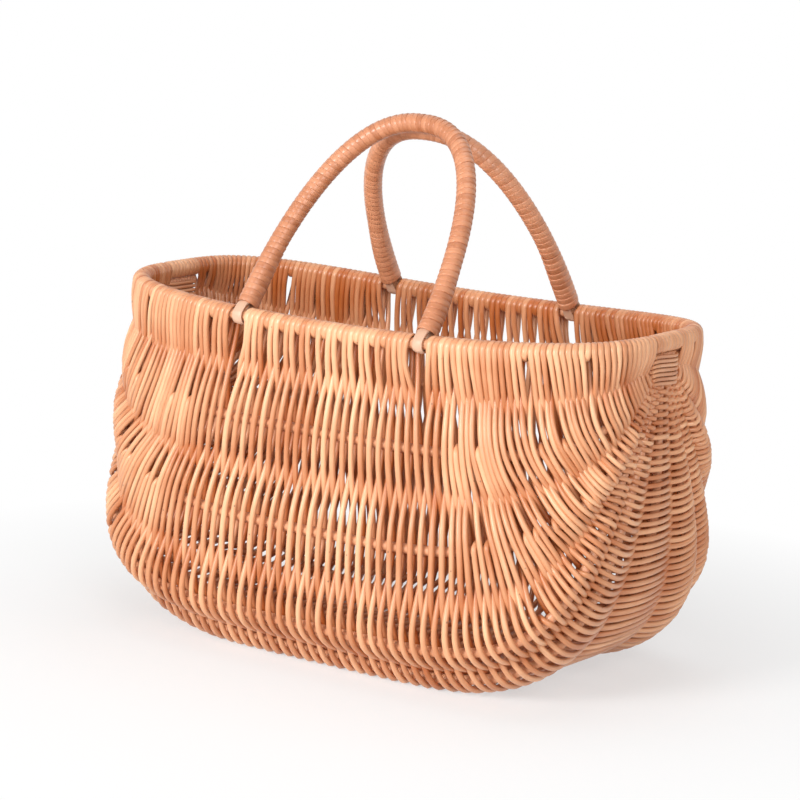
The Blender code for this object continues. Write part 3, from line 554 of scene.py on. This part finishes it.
# %% A table of where every row crosses every rod
# The bands that each row ends in, in front and behind: None where it turns on a rib.
row_bands = [(front_bands.get(front_pair[row]), back_bands.get(back_pair[row])) for row in row_numbers]
place_table = np.zeros((ROWS, BACK_RIM + 1))
wander = np.random.default_rng(7).uniform(-1.0, 1.0, place_table.shape)
for number in range(1, BACK_RIM):
    here = (first_rod <= number) & (number <= last_rod)
    place_table[here, number] = evened(crossing_of(number, station[here]))
    place_table[here, number] += ROW_JITTER * wander[here, number]
for row in row_numbers:
    for band_here, number, later in zip(row_bands[row], (0, BACK_RIM), (row % 2, 1 - row % 2)):
        if band_here:
            top, extra, pitch = band_here
            place_table[row, number] = top + WRAP_LEAN * (0.5 - later) - later * extra * pitch
print("crossings placed:", int((place_table > 0.0).sum()))


def side_of(row, number):
    """1 where a row passes outside a rod, -1 where it passes inside."""
    return 1.0 if (row + number) % 2 == 0 else -1.0


# %% [markdown]
# ## The path of one row
#
# Between two rods a real weaver swings from the outer to the inner side in a gentle S.
# So the row's middle follows a smooth curve through the crossings, and it is pushed out
# or in along the wall's normal by half a cosine from rod to rod. Where the rods stand
# close together the push is smaller, as a thin weaver hardly bends there.

# %% A smooth curve through given values
def smooth_through(values, at, steps=None):
    """Cubic pieces through the values at whole numbers. The slope at a value is the mean
    of the slopes before and after it, each weighted by the other's step."""
    steps = np.ones(len(values) - 1) if steps is None else np.asarray(steps)
    slopes = np.diff(values, axis=0) / steps[:, None]
    before, after = steps[:-1, None], steps[1:, None]
    inner = (slopes[:-1] * after + slopes[1:] * before) / (before + after)
    slopes = np.vstack((slopes[:1], inner, slopes[-1:]))
    base = np.clip(np.floor(at).astype(int), 0, len(values) - 2)
    s = (at - base)[:, None]
    step = steps[base][:, None]
    blend = s * s * (3.0 - 2.0 * s)
    return (values[base] * (1.0 - blend) + values[base + 1] * blend
            + step * s * (1.0 - s) * (slopes[base] * (1.0 - s) - slopes[base + 1] * s))


half_way = smooth_through(np.array(((0.0,), (1.0,), (0.0,))), np.array((0.5,)))
print("half way up to a peak the curve is at", half_way[0, 0])


# %% Where a row crosses the rods, and how far it is pushed
STIFFNESS = 0.42


def row_frame(row):
    """Crossing points, outward wall normals, row directions and pushes at each rod. A push
    is at most the share STIFFNESS of the way to the nearer of the next rods."""
    numbers = np.arange(first_rod[row], last_rod[row] + 1)
    places = place_table[row, numbers]
    crossings = np.array([rod_at(n, p) for n, p in zip(numbers, places)])
    lengthwise = np.array([rod_direction(n, p) for n, p in zip(numbers, places)])
    padded = np.vstack((2 * crossings[0] - crossings[1], crossings, 2 * crossings[-1] - crossings[-2]))
    downwards = unit(padded[2:] - padded[:-2])
    normals = unit(np.cross(downwards, lengthwise))
    normals *= np.sign((normals * (crossings - WALL_CENTRE)).sum(1, keepdims=True))
    steps = np.linalg.norm(np.diff(crossings, axis=0), axis=1)
    radius = WEAVER_RADIUS * thickness[row]
    reach = np.array([rod_radius(n, p) for n, p in zip(numbers, places)]) + radius
    on_rim = (numbers == 0) | (numbers == BACK_RIM)
    reach[on_rim] = RIM_ROD_RADIUS + RIM_LIFT
    room = np.minimum(np.append(steps, steps[-1]), np.insert(steps, 0, steps[0]))
    reach = np.where(on_rim, reach, np.minimum(reach, STIFFNESS * room))
    pushes = reach * np.array([side_of(row, n) for n in numbers])
    return dict(crossings=crossings, normals=normals, downwards=downwards, steps=steps,
                pushes=pushes, radius=radius)


# %% Room for a folded handle
LEG_TOP, LEG_DEPTH, MOST_SHIFT = 0.008, 0.020, 0.005


def kept_from_feet(middle, end, feet):
    """x moved off a foot where a folded handle's leg would meet the wall: to at least
    FOOT_ROOM sqrt(1 - d^2), d = (depth under the rim - LEG_TOP) / LEG_DEPTH from 0 to 1.
    The shift is averaged over a few points, so that the row has no kink."""
    depth = np.clip((RIM_HEIGHT - middle[:, 2] - LEG_TOP) / LEG_DEPTH, 0.0, 1.0)
    room = FOOT_ROOM * np.sqrt(1.0 - depth ** 2)
    near = (depth < 1.0) & (middle[:, 1] * middle[end, 1] > 0.0)
    window = np.hanning(9)[1:-1] / np.hanning(9).sum()
    for foot in feet:
        side = np.sign(middle[end, 0] - foot)
        shift = side * near * np.clip(room - side * (middle[:, 0] - foot), 0.0, MOST_SHIFT)
        middle[:, 0] += np.convolve(np.pad(shift, 3, mode="edge"), window, "valid")
    return middle


# %% Path of a row between its two turns
ROW_STEP, LEAST_POINTS, CALM_LENGTH, FLAT_LENGTH = 0.0038, 6, 0.03, 0.010
DRIFT, DRIFT_WAVE, SWELL, SWELL_WAVE = 0.00045, 0.15, 0.10, 0.9
# Painted shade: a strand pushed inwards by this depth or more gets the full deeper tone.
PAINTED_SHADE_DEPTH, FLOOR_GAP = 0.004, 0.0002


def row_line(row, info):
    """Middle, normal, half width, half depth and painted shade share along a row, from front to
    back. The push is lift_a + (lift_b - lift_a) (1 - cos(pi s)) / 2 between rods a and b,
    and the strand gets painted shade, a deeper tone, where it is pushed inwards."""
    counts = np.maximum(LEAST_POINTS, np.ceil(info["steps"] / ROW_STEP)).astype(int)
    at = np.concatenate([k + np.arange(n) / n for k, n in enumerate(counts)] + [[float(len(counts))]])
    base = np.minimum(at.astype(int), len(counts) - 1)
    s = 0.5 - 0.5 * np.cos(np.pi * (at - base))
    pushes = info["pushes"]
    push = pushes[base] + (pushes[base + 1] - pushes[base]) * s
    facing = unit(smooth_through(info["normals"], at, info["steps"]))
    middle = smooth_through(info["crossings"], at, info["steps"])
    if first_rod[row] == 0 and pushes[0] > 0.0:
        middle = kept_from_feet(middle, 0, FRONT_FEET)
    if last_rod[row] == BACK_RIM and pushes[-1] > 0.0:
        middle = kept_from_feet(middle, -1, BACK_FEET)
    sideways = unit(np.cross(facing, directions(middle)))
    walked = walked_along(middle)
    calm = soft_step(np.minimum(walked, walked[-1] - walked) / CALM_LENGTH)
    drift = DRIFT * thickness[row] * calm * ripple(walked, 100 + row, DRIFT_WAVE)
    middle = middle + facing * push[:, None] + sideways * drift[:, None]
    radius = info["radius"] * (1.0 + SWELL * ripple(walked + 0.6 * row, 9, SWELL_WAVE))
    middle[:, 2] = np.maximum(middle[:, 2], radius + FLOOR_GAP)
    half_width, half_depth = radius.copy(), radius.copy()
    for band_here, away in zip(row_bands[row], (walked, walked[-1] - walked)):
        if band_here:
            flat = 1.0 - soft_step(away / FLAT_LENGTH)
            half_width = half_width + (BAND_SHARE * band_here[2] - half_width) * flat
            half_depth = half_depth + (RIM_HALF_DEPTH - half_depth) * flat
    # Painted shade: the share is 1 where the strand is pushed inwards, behind the rods, and deepens its
    # tone.
    painted_shade = 0.5 - 0.5 * np.clip(push / PAINTED_SHADE_DEPTH, -1.0, 1.0)
    return middle, facing * side_of(row, 0), half_width, half_depth, painted_shade


print("points along the first row:", len(row_line(0, row_frame(0))[0]))


# %% Path of a strand over the rod that it turns on
TURN_STEP = math.pi / 10.0


def turn_line(number, row_a, row_b, info_a, info_b, at_front, band_here, start, end):
    """Circle round the rod: facing * cos(angle) * side + over * sin(angle), while the
    place along the rod moves from row a to row b."""
    angles = np.arange(start, end + 0.1 * TURN_STEP, TURN_STEP)
    index = 0 if at_front else -1
    half = math.pi * 0.5
    top, extras, pitch = band_here or (0.0, 0, 0.0)
    if band_here:
        corners = (0.0, half, half + 2.0 * math.pi * extras, math.pi + 2.0 * math.pi * extras)
        back_step = extras * pitch
        steps = (-0.5 * WRAP_LEAN - back_step, -back_step, 0.0, 0.5 * WRAP_LEAN)
        places = top + np.interp(angles, corners, steps)
    else:
        share = angles / math.pi
        places = place_table[row_a, number] * (1.0 - share) + place_table[row_b, number] * share
    share = np.clip(angles / (math.pi * (1.0 + 2.0 * extras)), 0.0, 1.0)[:, None]
    facing = unit(info_a["normals"][index] * (1.0 - share) + info_b["normals"][index] * share)
    over = unit(np.cross(facing, rod_direction(number, places)))
    away = -1.0 if at_front else 1.0
    over = over * np.sign((over * info_a["downwards"][index]).sum(1, keepdims=True)) * away
    side = side_of(row_a, number)
    radial = facing * np.cos(angles)[:, None] * side + over * np.sin(angles)[:, None]
    lift = abs(info_a["pushes"][index]) * (1.0 - share) + abs(info_b["pushes"][index]) * share
    middle = rod_at(number, places) + radial * lift
    half_width = np.full(len(angles), BAND_SHARE * pitch if band_here else info_a["radius"])
    half_depth = np.full(len(angles), RIM_HALF_DEPTH if band_here else info_a["radius"])
    # Painted shade: the half of the turn behind the rod gets a deeper tone.
    painted_shade = 0.5 - 0.5 * side * np.cos(angles)
    return middle, radial * side * side_of(row_a, 0), half_width, half_depth, painted_shade


# %% [markdown]
# ## Weaving the strands
#
# Each piece is one unbroken strand that goes down and back across the basket many times.
# Its rows and turns are joined end to end and swept as one tube.

# %% One strand from its rows and turns
def weave(rows):
    """Rows and turns of one strand, in the order in which it is woven."""
    infos = {row: row_frame(row) for row in rows}
    first, last = infos[rows[0]], infos[rows[-1]]
    top, _, pitch = row_bands[rows[0]][0]
    parts = [turn_line(0, rows[0] - 1, rows[0], first, first, True, (top, 0, pitch), 0.5 * math.pi, math.pi)]
    for row in rows:
        forward = (row - rows[0]) % 2 == 0
        line = row_line(row, infos[row])
        parts.append(line if forward else tuple(part[::-1] for part in line))
        if row == rows[-1]:
            break
        number = int(last_rod[row] if forward else first_rod[row])
        band_here = row_bands[row][int(forward)]
        extras = band_here[1] if band_here else 0
        parts.append(turn_line(number, row, row + 1, infos[row], infos[row + 1], not forward, band_here,
                               0.0, math.pi * (1 + 2 * extras)))
    last_band = row_bands[rows[-1]][0]
    if last_band:
        parts.append(turn_line(0, rows[-1], rows[-1], last, last, True, last_band, 0.0,
                               math.pi * (0.5 + 2 * last_band[1])))
    return parts


def join_parts(parts):
    """The parts end to end, without the points that two parts share."""
    return [np.concatenate([part[k][1:] if order else part[k] for order, part in enumerate(parts)])
            for k in range(5)]


# %% Weave thirteen strands
ROD_LENGTH, ROD_LENGTH_SPREAD, JOIN_SHARPNESS = 0.5, 0.12, 6.0
# Tone of a strand: random rods and a ripple, plus painted shade where it lies inwards.
ROD_TONES, ROD_SHARE, PAINTED_SHADE_TONE, RIPPLE_TONE, RIPPLE_WAVE = (0.08, 0.92), 0.72, 0.45, 0.08, 0.31


def new_rods(walked, seed):
    """A strand is pieced from rods that differ, so its tone goes softly from one random
    value to the next about every half metre."""
    random = np.random.default_rng(seed)
    knots = np.arange(0.0, walked[-1] + 2.0 * ROD_LENGTH, ROD_LENGTH)
    knots += random.uniform(-ROD_LENGTH_SPREAD, ROD_LENGTH_SPREAD)
    values = random.uniform(*ROD_TONES, len(knots))
    before = np.clip(np.searchsorted(knots, walked, side="right") - 1, 0, len(knots) - 2)
    share = (walked - knots[before]) / ROD_LENGTH
    return values[before] + (values[before + 1] - values[before]) * soft_step(
        (share - 0.5) * JOIN_SHARPNESS + 0.5)


triangles = 0
for strand, start_row in enumerate(range(0, ROWS, ROWS_IN_STRAND), start=1):
    parts = weave(range(start_row, start_row + ROWS_IN_STRAND))
    middle, normals, half_width, half_depth, painted_shade = join_parts(parts)
    walked = walked_along(middle)
    # Painted shade: the parts that lie inwards, behind the rods, are given a deeper tone.
    tone = ROD_SHARE * new_rods(walked, 500 + strand) + PAINTED_SHADE_TONE * painted_shade
    tone = tone + RIPPLE_TONE * ripple(walked, 700 + strand, RIPPLE_WAVE)
    made = tube(middle, normals, half_width, half_depth, oval_section(WEAVER_SIDES), tone)
    piece = make_piece("fine_strand_%02d" % strand, "weaving_strand_%02d" % strand, made, weaver_willow,
                       "basket")
    triangles += 2 * len(piece.data.polygons)
print("woven strands:", STRANDS, "with about", triangles, "triangles")


# %% [markdown]
# ## Windings at the ends of the rim
#
# Beside the last rows the rim is wound plainly, round and round, and under its middle a
# thin strip binds the nine stems of the ribs. Both are helices: the first about the rim,
# the second about the flat bundle of stems.

# %% Plain winding on the rim
WINDING_POINTS = 24


def rim_winding(number, flip):
    """Helix round the rim from the last row to the middle of the end, with a level turn
    at either end of it so that no bare rod shows."""
    turns = int(round(FIRST_ON_RIM / (END_BAND_SHARE * BAND_PITCH)))
    pitch = FIRST_ON_RIM / turns
    wound = np.linspace(0.0, turns + 1.0, WINDING_POINTS * (turns + 1))
    angles = (2.0 * wound - 0.5) * math.pi
    places = FIRST_ON_RIM - 0.5 * pitch - pitch * np.clip(wound - 1.0, 0.0, turns - 1.0)
    places = TOTALS[number] - places if flip else places
    base = rod_at(number, places)
    ahead = rod_direction(number, places)
    outward = unit(np.cross(ahead, UP))
    upward = np.cross(outward, ahead)
    radial = np.cos(angles)[:, None] * outward + np.sin(angles)[:, None] * upward
    middle = base + radial * (RIM_ROD_RADIUS + RIM_LIFT)
    tone = 0.40 + 0.3 * ripple(walked_along(middle), 60 + number + flip, 0.4)
    return tube(middle, radial, BAND_SHARE * pitch, RIM_HALF_DEPTH, oval_section(WEAVER_SIDES), tone)


for end, flip in (("right", False), ("left", True)):
    for wall, number in (("front", 0), ("back", BACK_RIM)):
        name = "%s_%s_rim_wrap" % (end, wall)
        make_piece("fine_" + name, name, rim_winding(number, flip), weaver_willow, "basket")
print("turns in each winding:", round(FIRST_ON_RIM / (END_BAND_SHARE * BAND_PITCH)))


# %% Lashing of the stems under the rim
LASHING_TURNS, LASHING_POINTS, LASHING_SIDES, LASHING_SQUARENESS = 7, 32, 8, 6.0
LASHING_DROP, LASHING_SLANT, LASHING_BELOW_RIM = 0.0205, -0.09, 0.0020
LASHING_REACH, LASHING_SIDE_REACH = 0.0016, 0.0014
LASHING_HALF_WIDTH, LASHING_HALF_DEPTH = 0.00125, 0.00105


def stem_lashing(end):
    """A rounded rectangle of turns about the nine stems that goes down as it winds."""
    angle = np.linspace(0.0, 2.0 * math.pi * LASHING_TURNS, LASHING_TURNS * LASHING_POINTS + 1)
    crosswise, outwards = rounded_rectangle(angle, LASHING_SQUARENESS)
    across = ((MIDDLE_RIB - 1) * FAN_SPACING + LASHING_SIDE_REACH) * crosswise
    out = (RIB_TIP_RADIUS + LASHING_REACH) * outwards
    top = RIM_HEIGHT + RIM_END_RISE - RIM_ROD_RADIUS - 2.0 * RIM_HALF_DEPTH - LASHING_BELOW_RIM
    slant = LASHING_SLANT * across * np.clip(outwards, 0.0, 1.0)
    level = top - LASHING_DROP * angle / angle[-1] + slant
    middle = np.stack((end * (FAN_HALF_LENGTH + out), across, level), 1)
    normals = np.stack((end * np.sin(angle), np.cos(angle) * 0.6, np.zeros_like(angle)), 1)
    tone = 0.35 + 0.3 * ripple(walked_along(middle), 81 + int(end), 0.08)
    return tube(middle, normals, LASHING_HALF_WIDTH, LASHING_HALF_DEPTH, oval_section(LASHING_SIDES), tone)


for name, end in (("right_lashing", 1.0), ("left_lashing", -1.0)):
    make_piece("fine_" + name, name, stem_lashing(end), weaver_willow, "basket")
print("turns in each lashing:", LASHING_TURNS)

# %% [markdown]
# ## The handles
#
# A handle is a thick rod bent to an arch. Its thinned ends loop round the bare rim as pale
# tongues and run back up the leg, and a flat skein of split willow is lapped over all of
# it. The path of the core is a rounded arch in a leaning plane; the skein is a strap along
# a helix, each turn just over the edge of the one before.

# %% Sizes of the handles
HANDLES = {
    "front": (-1.0, FRONT_FEET, 0.1586, math.radians(36.1), 2.34, 0.0007),
    "back": (1.0, BACK_FEET, 0.1423, math.radians(31.2), 2.31, -0.0025),
}
CORE_RADIUS, CORE_START, FOOT_JOIN = 0.0046, 0.0272, 0.0108
TONGUE_HALF_WIDTH, TONGUE_HALF_DEPTH, TONGUE_GAP = 0.0040, 0.0010, 0.0005
TAIL_HALF_WIDTH, TAIL_LENGTH, TAIL_GAP = 0.0028, 0.046, 0.0004
TAIL_POINTS, LOOP_POINTS, CORE_STEPS, CORE_POINTS, CORE_SMOOTHNESS = 8, 15, 1500, 60, 3


def rim_point(side, x):
    """Middle of the rim rod at a place along X, by the rounded rectangle's equation."""
    share = abs(x) / RIM_HALF_LENGTH
    y = side * RIM_HALF_WIDTH * (1.0 - share ** RIM_SQUARENESS) ** (1.0 / RIM_SQUARENESS)
    return np.array((x, y, RIM_HEIGHT + RIM_END_RISE * share ** 2))


class HandleShape:
    """The pivot line through both feet and the handle's own plane."""

    def __init__(self, side, feet, reach, lean, squareness, skew):
        left, right = rim_point(side, feet[0]), rim_point(side, feet[1])
        self.origin = 0.5 * (left + right)
        self.axis = unit(right - left)
        upright = np.array((0.0, -side * math.sin(lean), math.cos(lean)))
        self.rise = unit(upright - self.axis * float(upright @ self.axis))
        self.facing = side * np.cross(self.rise, self.axis)
        self.middle_x, self.half_span = 0.5 * (feet[0] + feet[1]), 0.5 * (feet[1] - feet[0])
        self.reach, self.squareness, self.skew = reach, squareness, skew

    def at(self, flat):
        """Points from rows of x along the pivot, height up the lean and offset off the plane."""
        x, height, offset = (column[:, None] for column in flat.T)
        return (self.origin + self.axis * (x - self.middle_x) + self.rise * height
                + self.facing * offset)

    def leg_x(self, height, leg):
        """x of the arch at a height: (1 - h^n)^(1/n) of the half span, plus the skew."""
        share = np.maximum(height, 0.0) / self.reach
        width = (1.0 - share ** self.squareness) ** (1.0 / self.squareness)
        return self.middle_x + leg * self.half_span * width + self.skew * share

    def arch(self, count, lowest):
        """The arch above a height, in the handle's plane, as a rounded rectangle."""
        lengthwise, rise = rounded_rectangle(np.linspace(math.pi, 0.0, count), self.squareness)
        x = self.middle_x + self.half_span * lengthwise + self.skew * rise
        flat = np.stack((x, self.reach * rise, np.zeros(count)), 1)
        return flat[flat[:, 1] > lowest]

    def wide_axes(self, flat):
        """Unit vectors square to the arch, in its own plane."""
        ahead = directions(flat)
        return unit(self.rise * ahead[:, :1] - self.axis * ahead[:, 1:2])


print("front feet are", round(1000 * (FRONT_FEET[1] - FRONT_FEET[0])), "mm apart")


# %% Core and tongues
def foot_outline():
    """Tail against the leg, half circle under the rim, then up into the core: offset,
    height, half width and half depth at each place."""
    loop = RIM_ROD_RADIUS + TONGUE_GAP + TONGUE_HALF_DEPTH
    tail = -(CORE_RADIUS + TAIL_GAP + TONGUE_HALF_DEPTH)
    rows = [(tail, height, TAIL_HALF_WIDTH, TONGUE_HALF_DEPTH)
            for height in np.linspace(TAIL_LENGTH, FOOT_JOIN, TAIL_POINTS)]
    for turn in np.radians(np.linspace(180.0, 360.0, LOOP_POINTS)):
        rows.append((loop * math.cos(turn), loop * math.sin(turn), TONGUE_HALF_WIDTH, TONGUE_HALF_DEPTH))
    rows.append((0.85 * loop, 0.5 * FOOT_JOIN, TONGUE_HALF_WIDTH, 1.3 * TONGUE_HALF_DEPTH))
    rows.append((0.40 * loop, FOOT_JOIN, 0.5 * (TONGUE_HALF_WIDTH + CORE_RADIUS), 0.6 * CORE_RADIUS))
    return np.array(rows)


def handle_core(shape):
    """Foot, arch and foot as one path, smoothed by cubic pieces, with an oval section."""
    flat = shape.arch(CORE_STEPS, CORE_START)
    walked = walked_along(flat)
    arch = at_places(np.linspace(0.0, walked[-1], CORE_POINTS), walked, flat)
    legs = []
    for leg, rows in ((-1.0, foot_outline()), (1.0, foot_outline()[::-1])):
        points = shape.at(np.stack((shape.leg_x(rows[:, 1], leg), rows[:, 1], rows[:, 0]), 1))
        legs.append((points, rows[:, 2], rows[:, 3], np.repeat((leg * shape.axis)[None], len(rows), 0)))
    core = np.full(len(arch), CORE_RADIUS)
    parts = (legs[0], (shape.at(arch), core, core, shape.wide_axes(arch)), legs[1])
    path, wide, deep, wide_axis = (np.concatenate([part[k] for part in parts]) for k in range(4))
    at = np.linspace(0.0, len(path) - 1.0, CORE_SMOOTHNESS * len(path))
    stack = smooth_through(np.column_stack((path, wide, deep, wide_axis)), at)
    path = stack[:, :3]
    normals = np.cross(unit(stack[:, 5:]), directions(path))
    tone = 0.35 + 0.25 * ripple(walked_along(path), 31, 0.06)
    return tube(path, normals, stack[:, 3], stack[:, 4], oval_section(ROD_SIDES), tone)


# %% Lapping of split willow
SKEIN_START, SKEIN_PITCH, SKEIN_HALF_WIDTH, SKEIN_HALF_DEPTH = 0.0078, 0.0041, 0.0023, 0.0006
SKEIN_POINTS, SKEIN_STEPS, SKEIN_GAP, SKEIN_TILT, SKEIN_WANDER = 28, 3000, 0.0006, 0.10, 0.0003
OVAL_LENGTH, OVAL_FADE, OVAL_WIDER, OVAL_DEEPER = 0.016, 0.040, 0.02, 0.0006


def handle_lapping(shape, seed, deepness):
    """Helix about the leg and arch: base + wide cos + deep sin, oval over the tails."""
    flat = shape.arch(SKEIN_STEPS, SKEIN_START)
    spine = shape.at(flat)
    walked = walked_along(spine)
    turns = int(walked[-1] / SKEIN_PITCH) + 2
    steps = np.arange(turns * SKEIN_POINTS + 1)
    winding = steps * 2.0 * math.pi / SKEIN_POINTS
    climb = np.clip((steps - SKEIN_POINTS) / (steps[-1] - 2.0 * SKEIN_POINTS), 0.0, 1.0)
    places = SKEIN_HALF_WIDTH + (walked[-1] - 2.0 * SKEIN_HALF_WIDTH) * climb
    places = places + SKEIN_WANDER * ripple(places, seed, 0.02) * (climb > 0.0) * (climb < 1.0)
    wide_axis = unit(at_places(places, walked, shape.wide_axes(flat)))
    round_size = CORE_RADIUS + SKEIN_GAP + SKEIN_HALF_DEPTH
    from_foot = np.minimum(places, walked[-1] - places)
    oval = 1.0 - soft_step((from_foot - OVAL_LENGTH) / OVAL_FADE)
    tail_depth = 2.0 * TONGUE_HALF_DEPTH + TAIL_GAP
    half_width = round_size * (1.0 + OVAL_WIDER * oval)
    half_depth = round_size + oval * (0.5 * tail_depth + OVAL_DEEPER)
    offset = -oval * 0.5 * tail_depth
    ring = (np.cos(winding) * half_width)[:, None] * wide_axis
    ring = ring + (np.sin(winding) * half_depth + offset)[:, None] * shape.facing
    outward = unit((np.cos(winding) / half_width)[:, None] * wide_axis
                   + (np.sin(winding) / half_depth)[:, None] * shape.facing)
    outward = unit(outward + SKEIN_TILT * unit(np.cross(shape.facing, wide_axis)))
    path = at_places(places, walked, spine) + ring
    # Painted light: the base deepness is set per handle, paler where a handle gets too little light and
    # deeper where it gets too much, plus a random ripple.
    tone = deepness + 0.35 * ripple(walked_along(path), seed + 5, 0.11)
    return tube(path, outward, SKEIN_HALF_WIDTH, SKEIN_HALF_DEPTH, strap_section(), tone), turns


# %% Make both handles
# Painted light: the back skein is painted paler, as light, and the front one deeper, as shade, to even out
# how the lamps light the two handles.
LAPPING_SEEDS_AND_PAINTED_LIGHT_TONES = {"front": (17, 0.60), "back": (29, 0.22)}
for label, sizes in HANDLES.items():
    body = label + "_handle"
    shape = HandleShape(*sizes)
    lapping, turns = handle_lapping(shape, *LAPPING_SEEDS_AND_PAINTED_LIGHT_TONES[label])
    for name, made, material, slot in (("_core", handle_core(shape), peeled_willow, "peeled_willow"),
                                       ("_lapping", lapping, skein_willow, "skein_willow")):
        make_piece("fine_" + body + name, body + name, made, material, body)
    print(label, "handle:", turns, "turns of skein")

# %% [markdown]
# ## Stage, light and camera
#
# The basket stands on a plain pale floor against white. A large soft lamp in front, a
# little to the left, lights the front wall. A weaker one before the right end fills the
# sides, and one above lights the rim. The camera looks from the front right, a little from
# above, through a long lens.

# %% Floor
WHITE, FLOOR_COLOUR = (1.0, 1.0, 1.0, 1.0), (0.96, 0.96, 0.96, 1.0)
SHADOW_END, WHITE_START, NEAR_WHITENESS = 0.22, 0.48, 0.55


def seen_directly(tree):
    """1 for rays of the camera and for rays mirrored or let through, else 0."""
    rays = node(tree, "ShaderNodeLightPath").outputs
    bent = maths(tree, "ADD", rays["Is Glossy Ray"], rays["Is Transmission Ray"])
    return maths(tree, "ADD", rays["Is Camera Ray"], bent, clamp=True)


floor_mesh = bpy.data.meshes.new("floor")
floor_mesh.from_pydata([(-6, -6, 0), (6, -6, 0), (6, 6, 0), (-6, 6, 0)], [], [(0, 1, 2, 3)])
floor = new_object("floor", floor_mesh)
floor_material = bpy.data.materials.new("floor")
floor_material.use_nodes = True
tree = floor_material.node_tree
floor_shader = tree.nodes["Principled BSDF"]
floor_shader.inputs["Base Color"].default_value = FLOOR_COLOUR
floor_shader.inputs["Roughness"].default_value = 0.9
place = node(tree, "ShaderNodeTexCoord").outputs["Object"]
distance = node(tree, "ShaderNodeVectorMath", {0: place}, operation="LENGTH").outputs["Value"]
far = maths(tree, "MULTIPLY", band(tree, distance, SHADOW_END, WHITE_START), 1.0 - NEAR_WHITENESS)
whiteness = maths(tree, "MULTIPLY", seen_directly(tree), maths(tree, "ADD", NEAR_WHITENESS, far))
white = node(tree, "ShaderNodeEmission", {"Color": WHITE, "Strength": 1.0})
floor_mix = node(tree, "ShaderNodeMixShader", {0: whiteness, 1: floor_shader.outputs[0],
                                               2: white.outputs[0]})
feed(tree, tree.nodes["Material Output"].inputs["Surface"], floor_mix.outputs[0])
floor_mesh.materials.append(floor_material)
print("the floor turns white from", SHADOW_END, "to", WHITE_START, "m away")

# %% Background
world = bpy.data.worlds.new("studio")
bpy.context.scene.world = world
world.use_nodes = True
tree = world.node_tree
tree.nodes.clear()
soft_sky, white_sky = (node(tree, "ShaderNodeBackground", {"Color": WHITE, "Strength": strength})
                       for strength in (0.28, 1.0))
sky = node(tree, "ShaderNodeMixShader", {0: seen_directly(tree), 1: soft_sky.outputs[0],
                                         2: white_sky.outputs[0]})
node(tree, "ShaderNodeOutputWorld", {"Surface": sky.outputs[0]})
print("background nodes:", len(tree.nodes))


# %% Lamps
def put(name, data, right, above, away, place):
    """An object with its three axes and its place, as the columns of its matrix."""
    made = new_object(name, data)
    turned = np.eye(4)
    turned[:3] = np.stack((right, above, away, place), 1)
    made.matrix_world = Matrix(turned.tolist())
    return made


def soft_lamp(name, place, target, size, power):
    """A square area lamp at a place, turned to look at a target."""
    data = bpy.data.lights.new(name, "AREA")
    data.size, data.energy = size, power
    away = unit(np.array(place) - np.array(target))
    right = unit(np.cross(UP, away))
    return put(name, data, right, np.cross(away, right), away, place)


lamps = (soft_lamp("key", (-0.42, -2.18, 0.95), (0.0, 0.0, 0.12), 0.8, 41.5),
         soft_lamp("fill", (1.6, -1.5, 1.0), (0.0, 0.0, 0.16), 1.0, 20.0),
         soft_lamp("top", (0.1, 0.3, 2.2), (0.0, 0.0, 0.15), 1.4, 10.0))
print("lamps:", [lamp.name for lamp in lamps])

# %% Camera
AZIMUTH, ELEVATION, ROLL = math.radians(35.57), math.radians(10.93), math.radians(2.20)
FOCAL_PIXELS, DISTANCE, IMAGE_SIZE, SENSOR_WIDTH = 3190.5, 2.1597, 800.0, 36.0
TARGET = np.array((-0.0047, 0.0, 0.1687))
away = np.array((math.sin(AZIMUTH) * math.cos(ELEVATION), -math.cos(AZIMUTH) * math.cos(ELEVATION),
                 math.sin(ELEVATION)))
right = unit(np.cross(-away, UP))
above = np.cross(right, -away)
camera_data = bpy.data.cameras.new("camera")
camera_data.sensor_width = SENSOR_WIDTH
camera_data.lens = FOCAL_PIXELS * SENSOR_WIDTH / IMAGE_SIZE
camera = put("camera", camera_data, math.cos(ROLL) * right + math.sin(ROLL) * above,
             math.cos(ROLL) * above - math.sin(ROLL) * right, away, TARGET + away * DISTANCE)
bpy.context.scene.camera = camera
bpy.context.scene.view_settings.view_transform = "Standard"
print("lens:", round(camera_data.lens, 1), "mm")
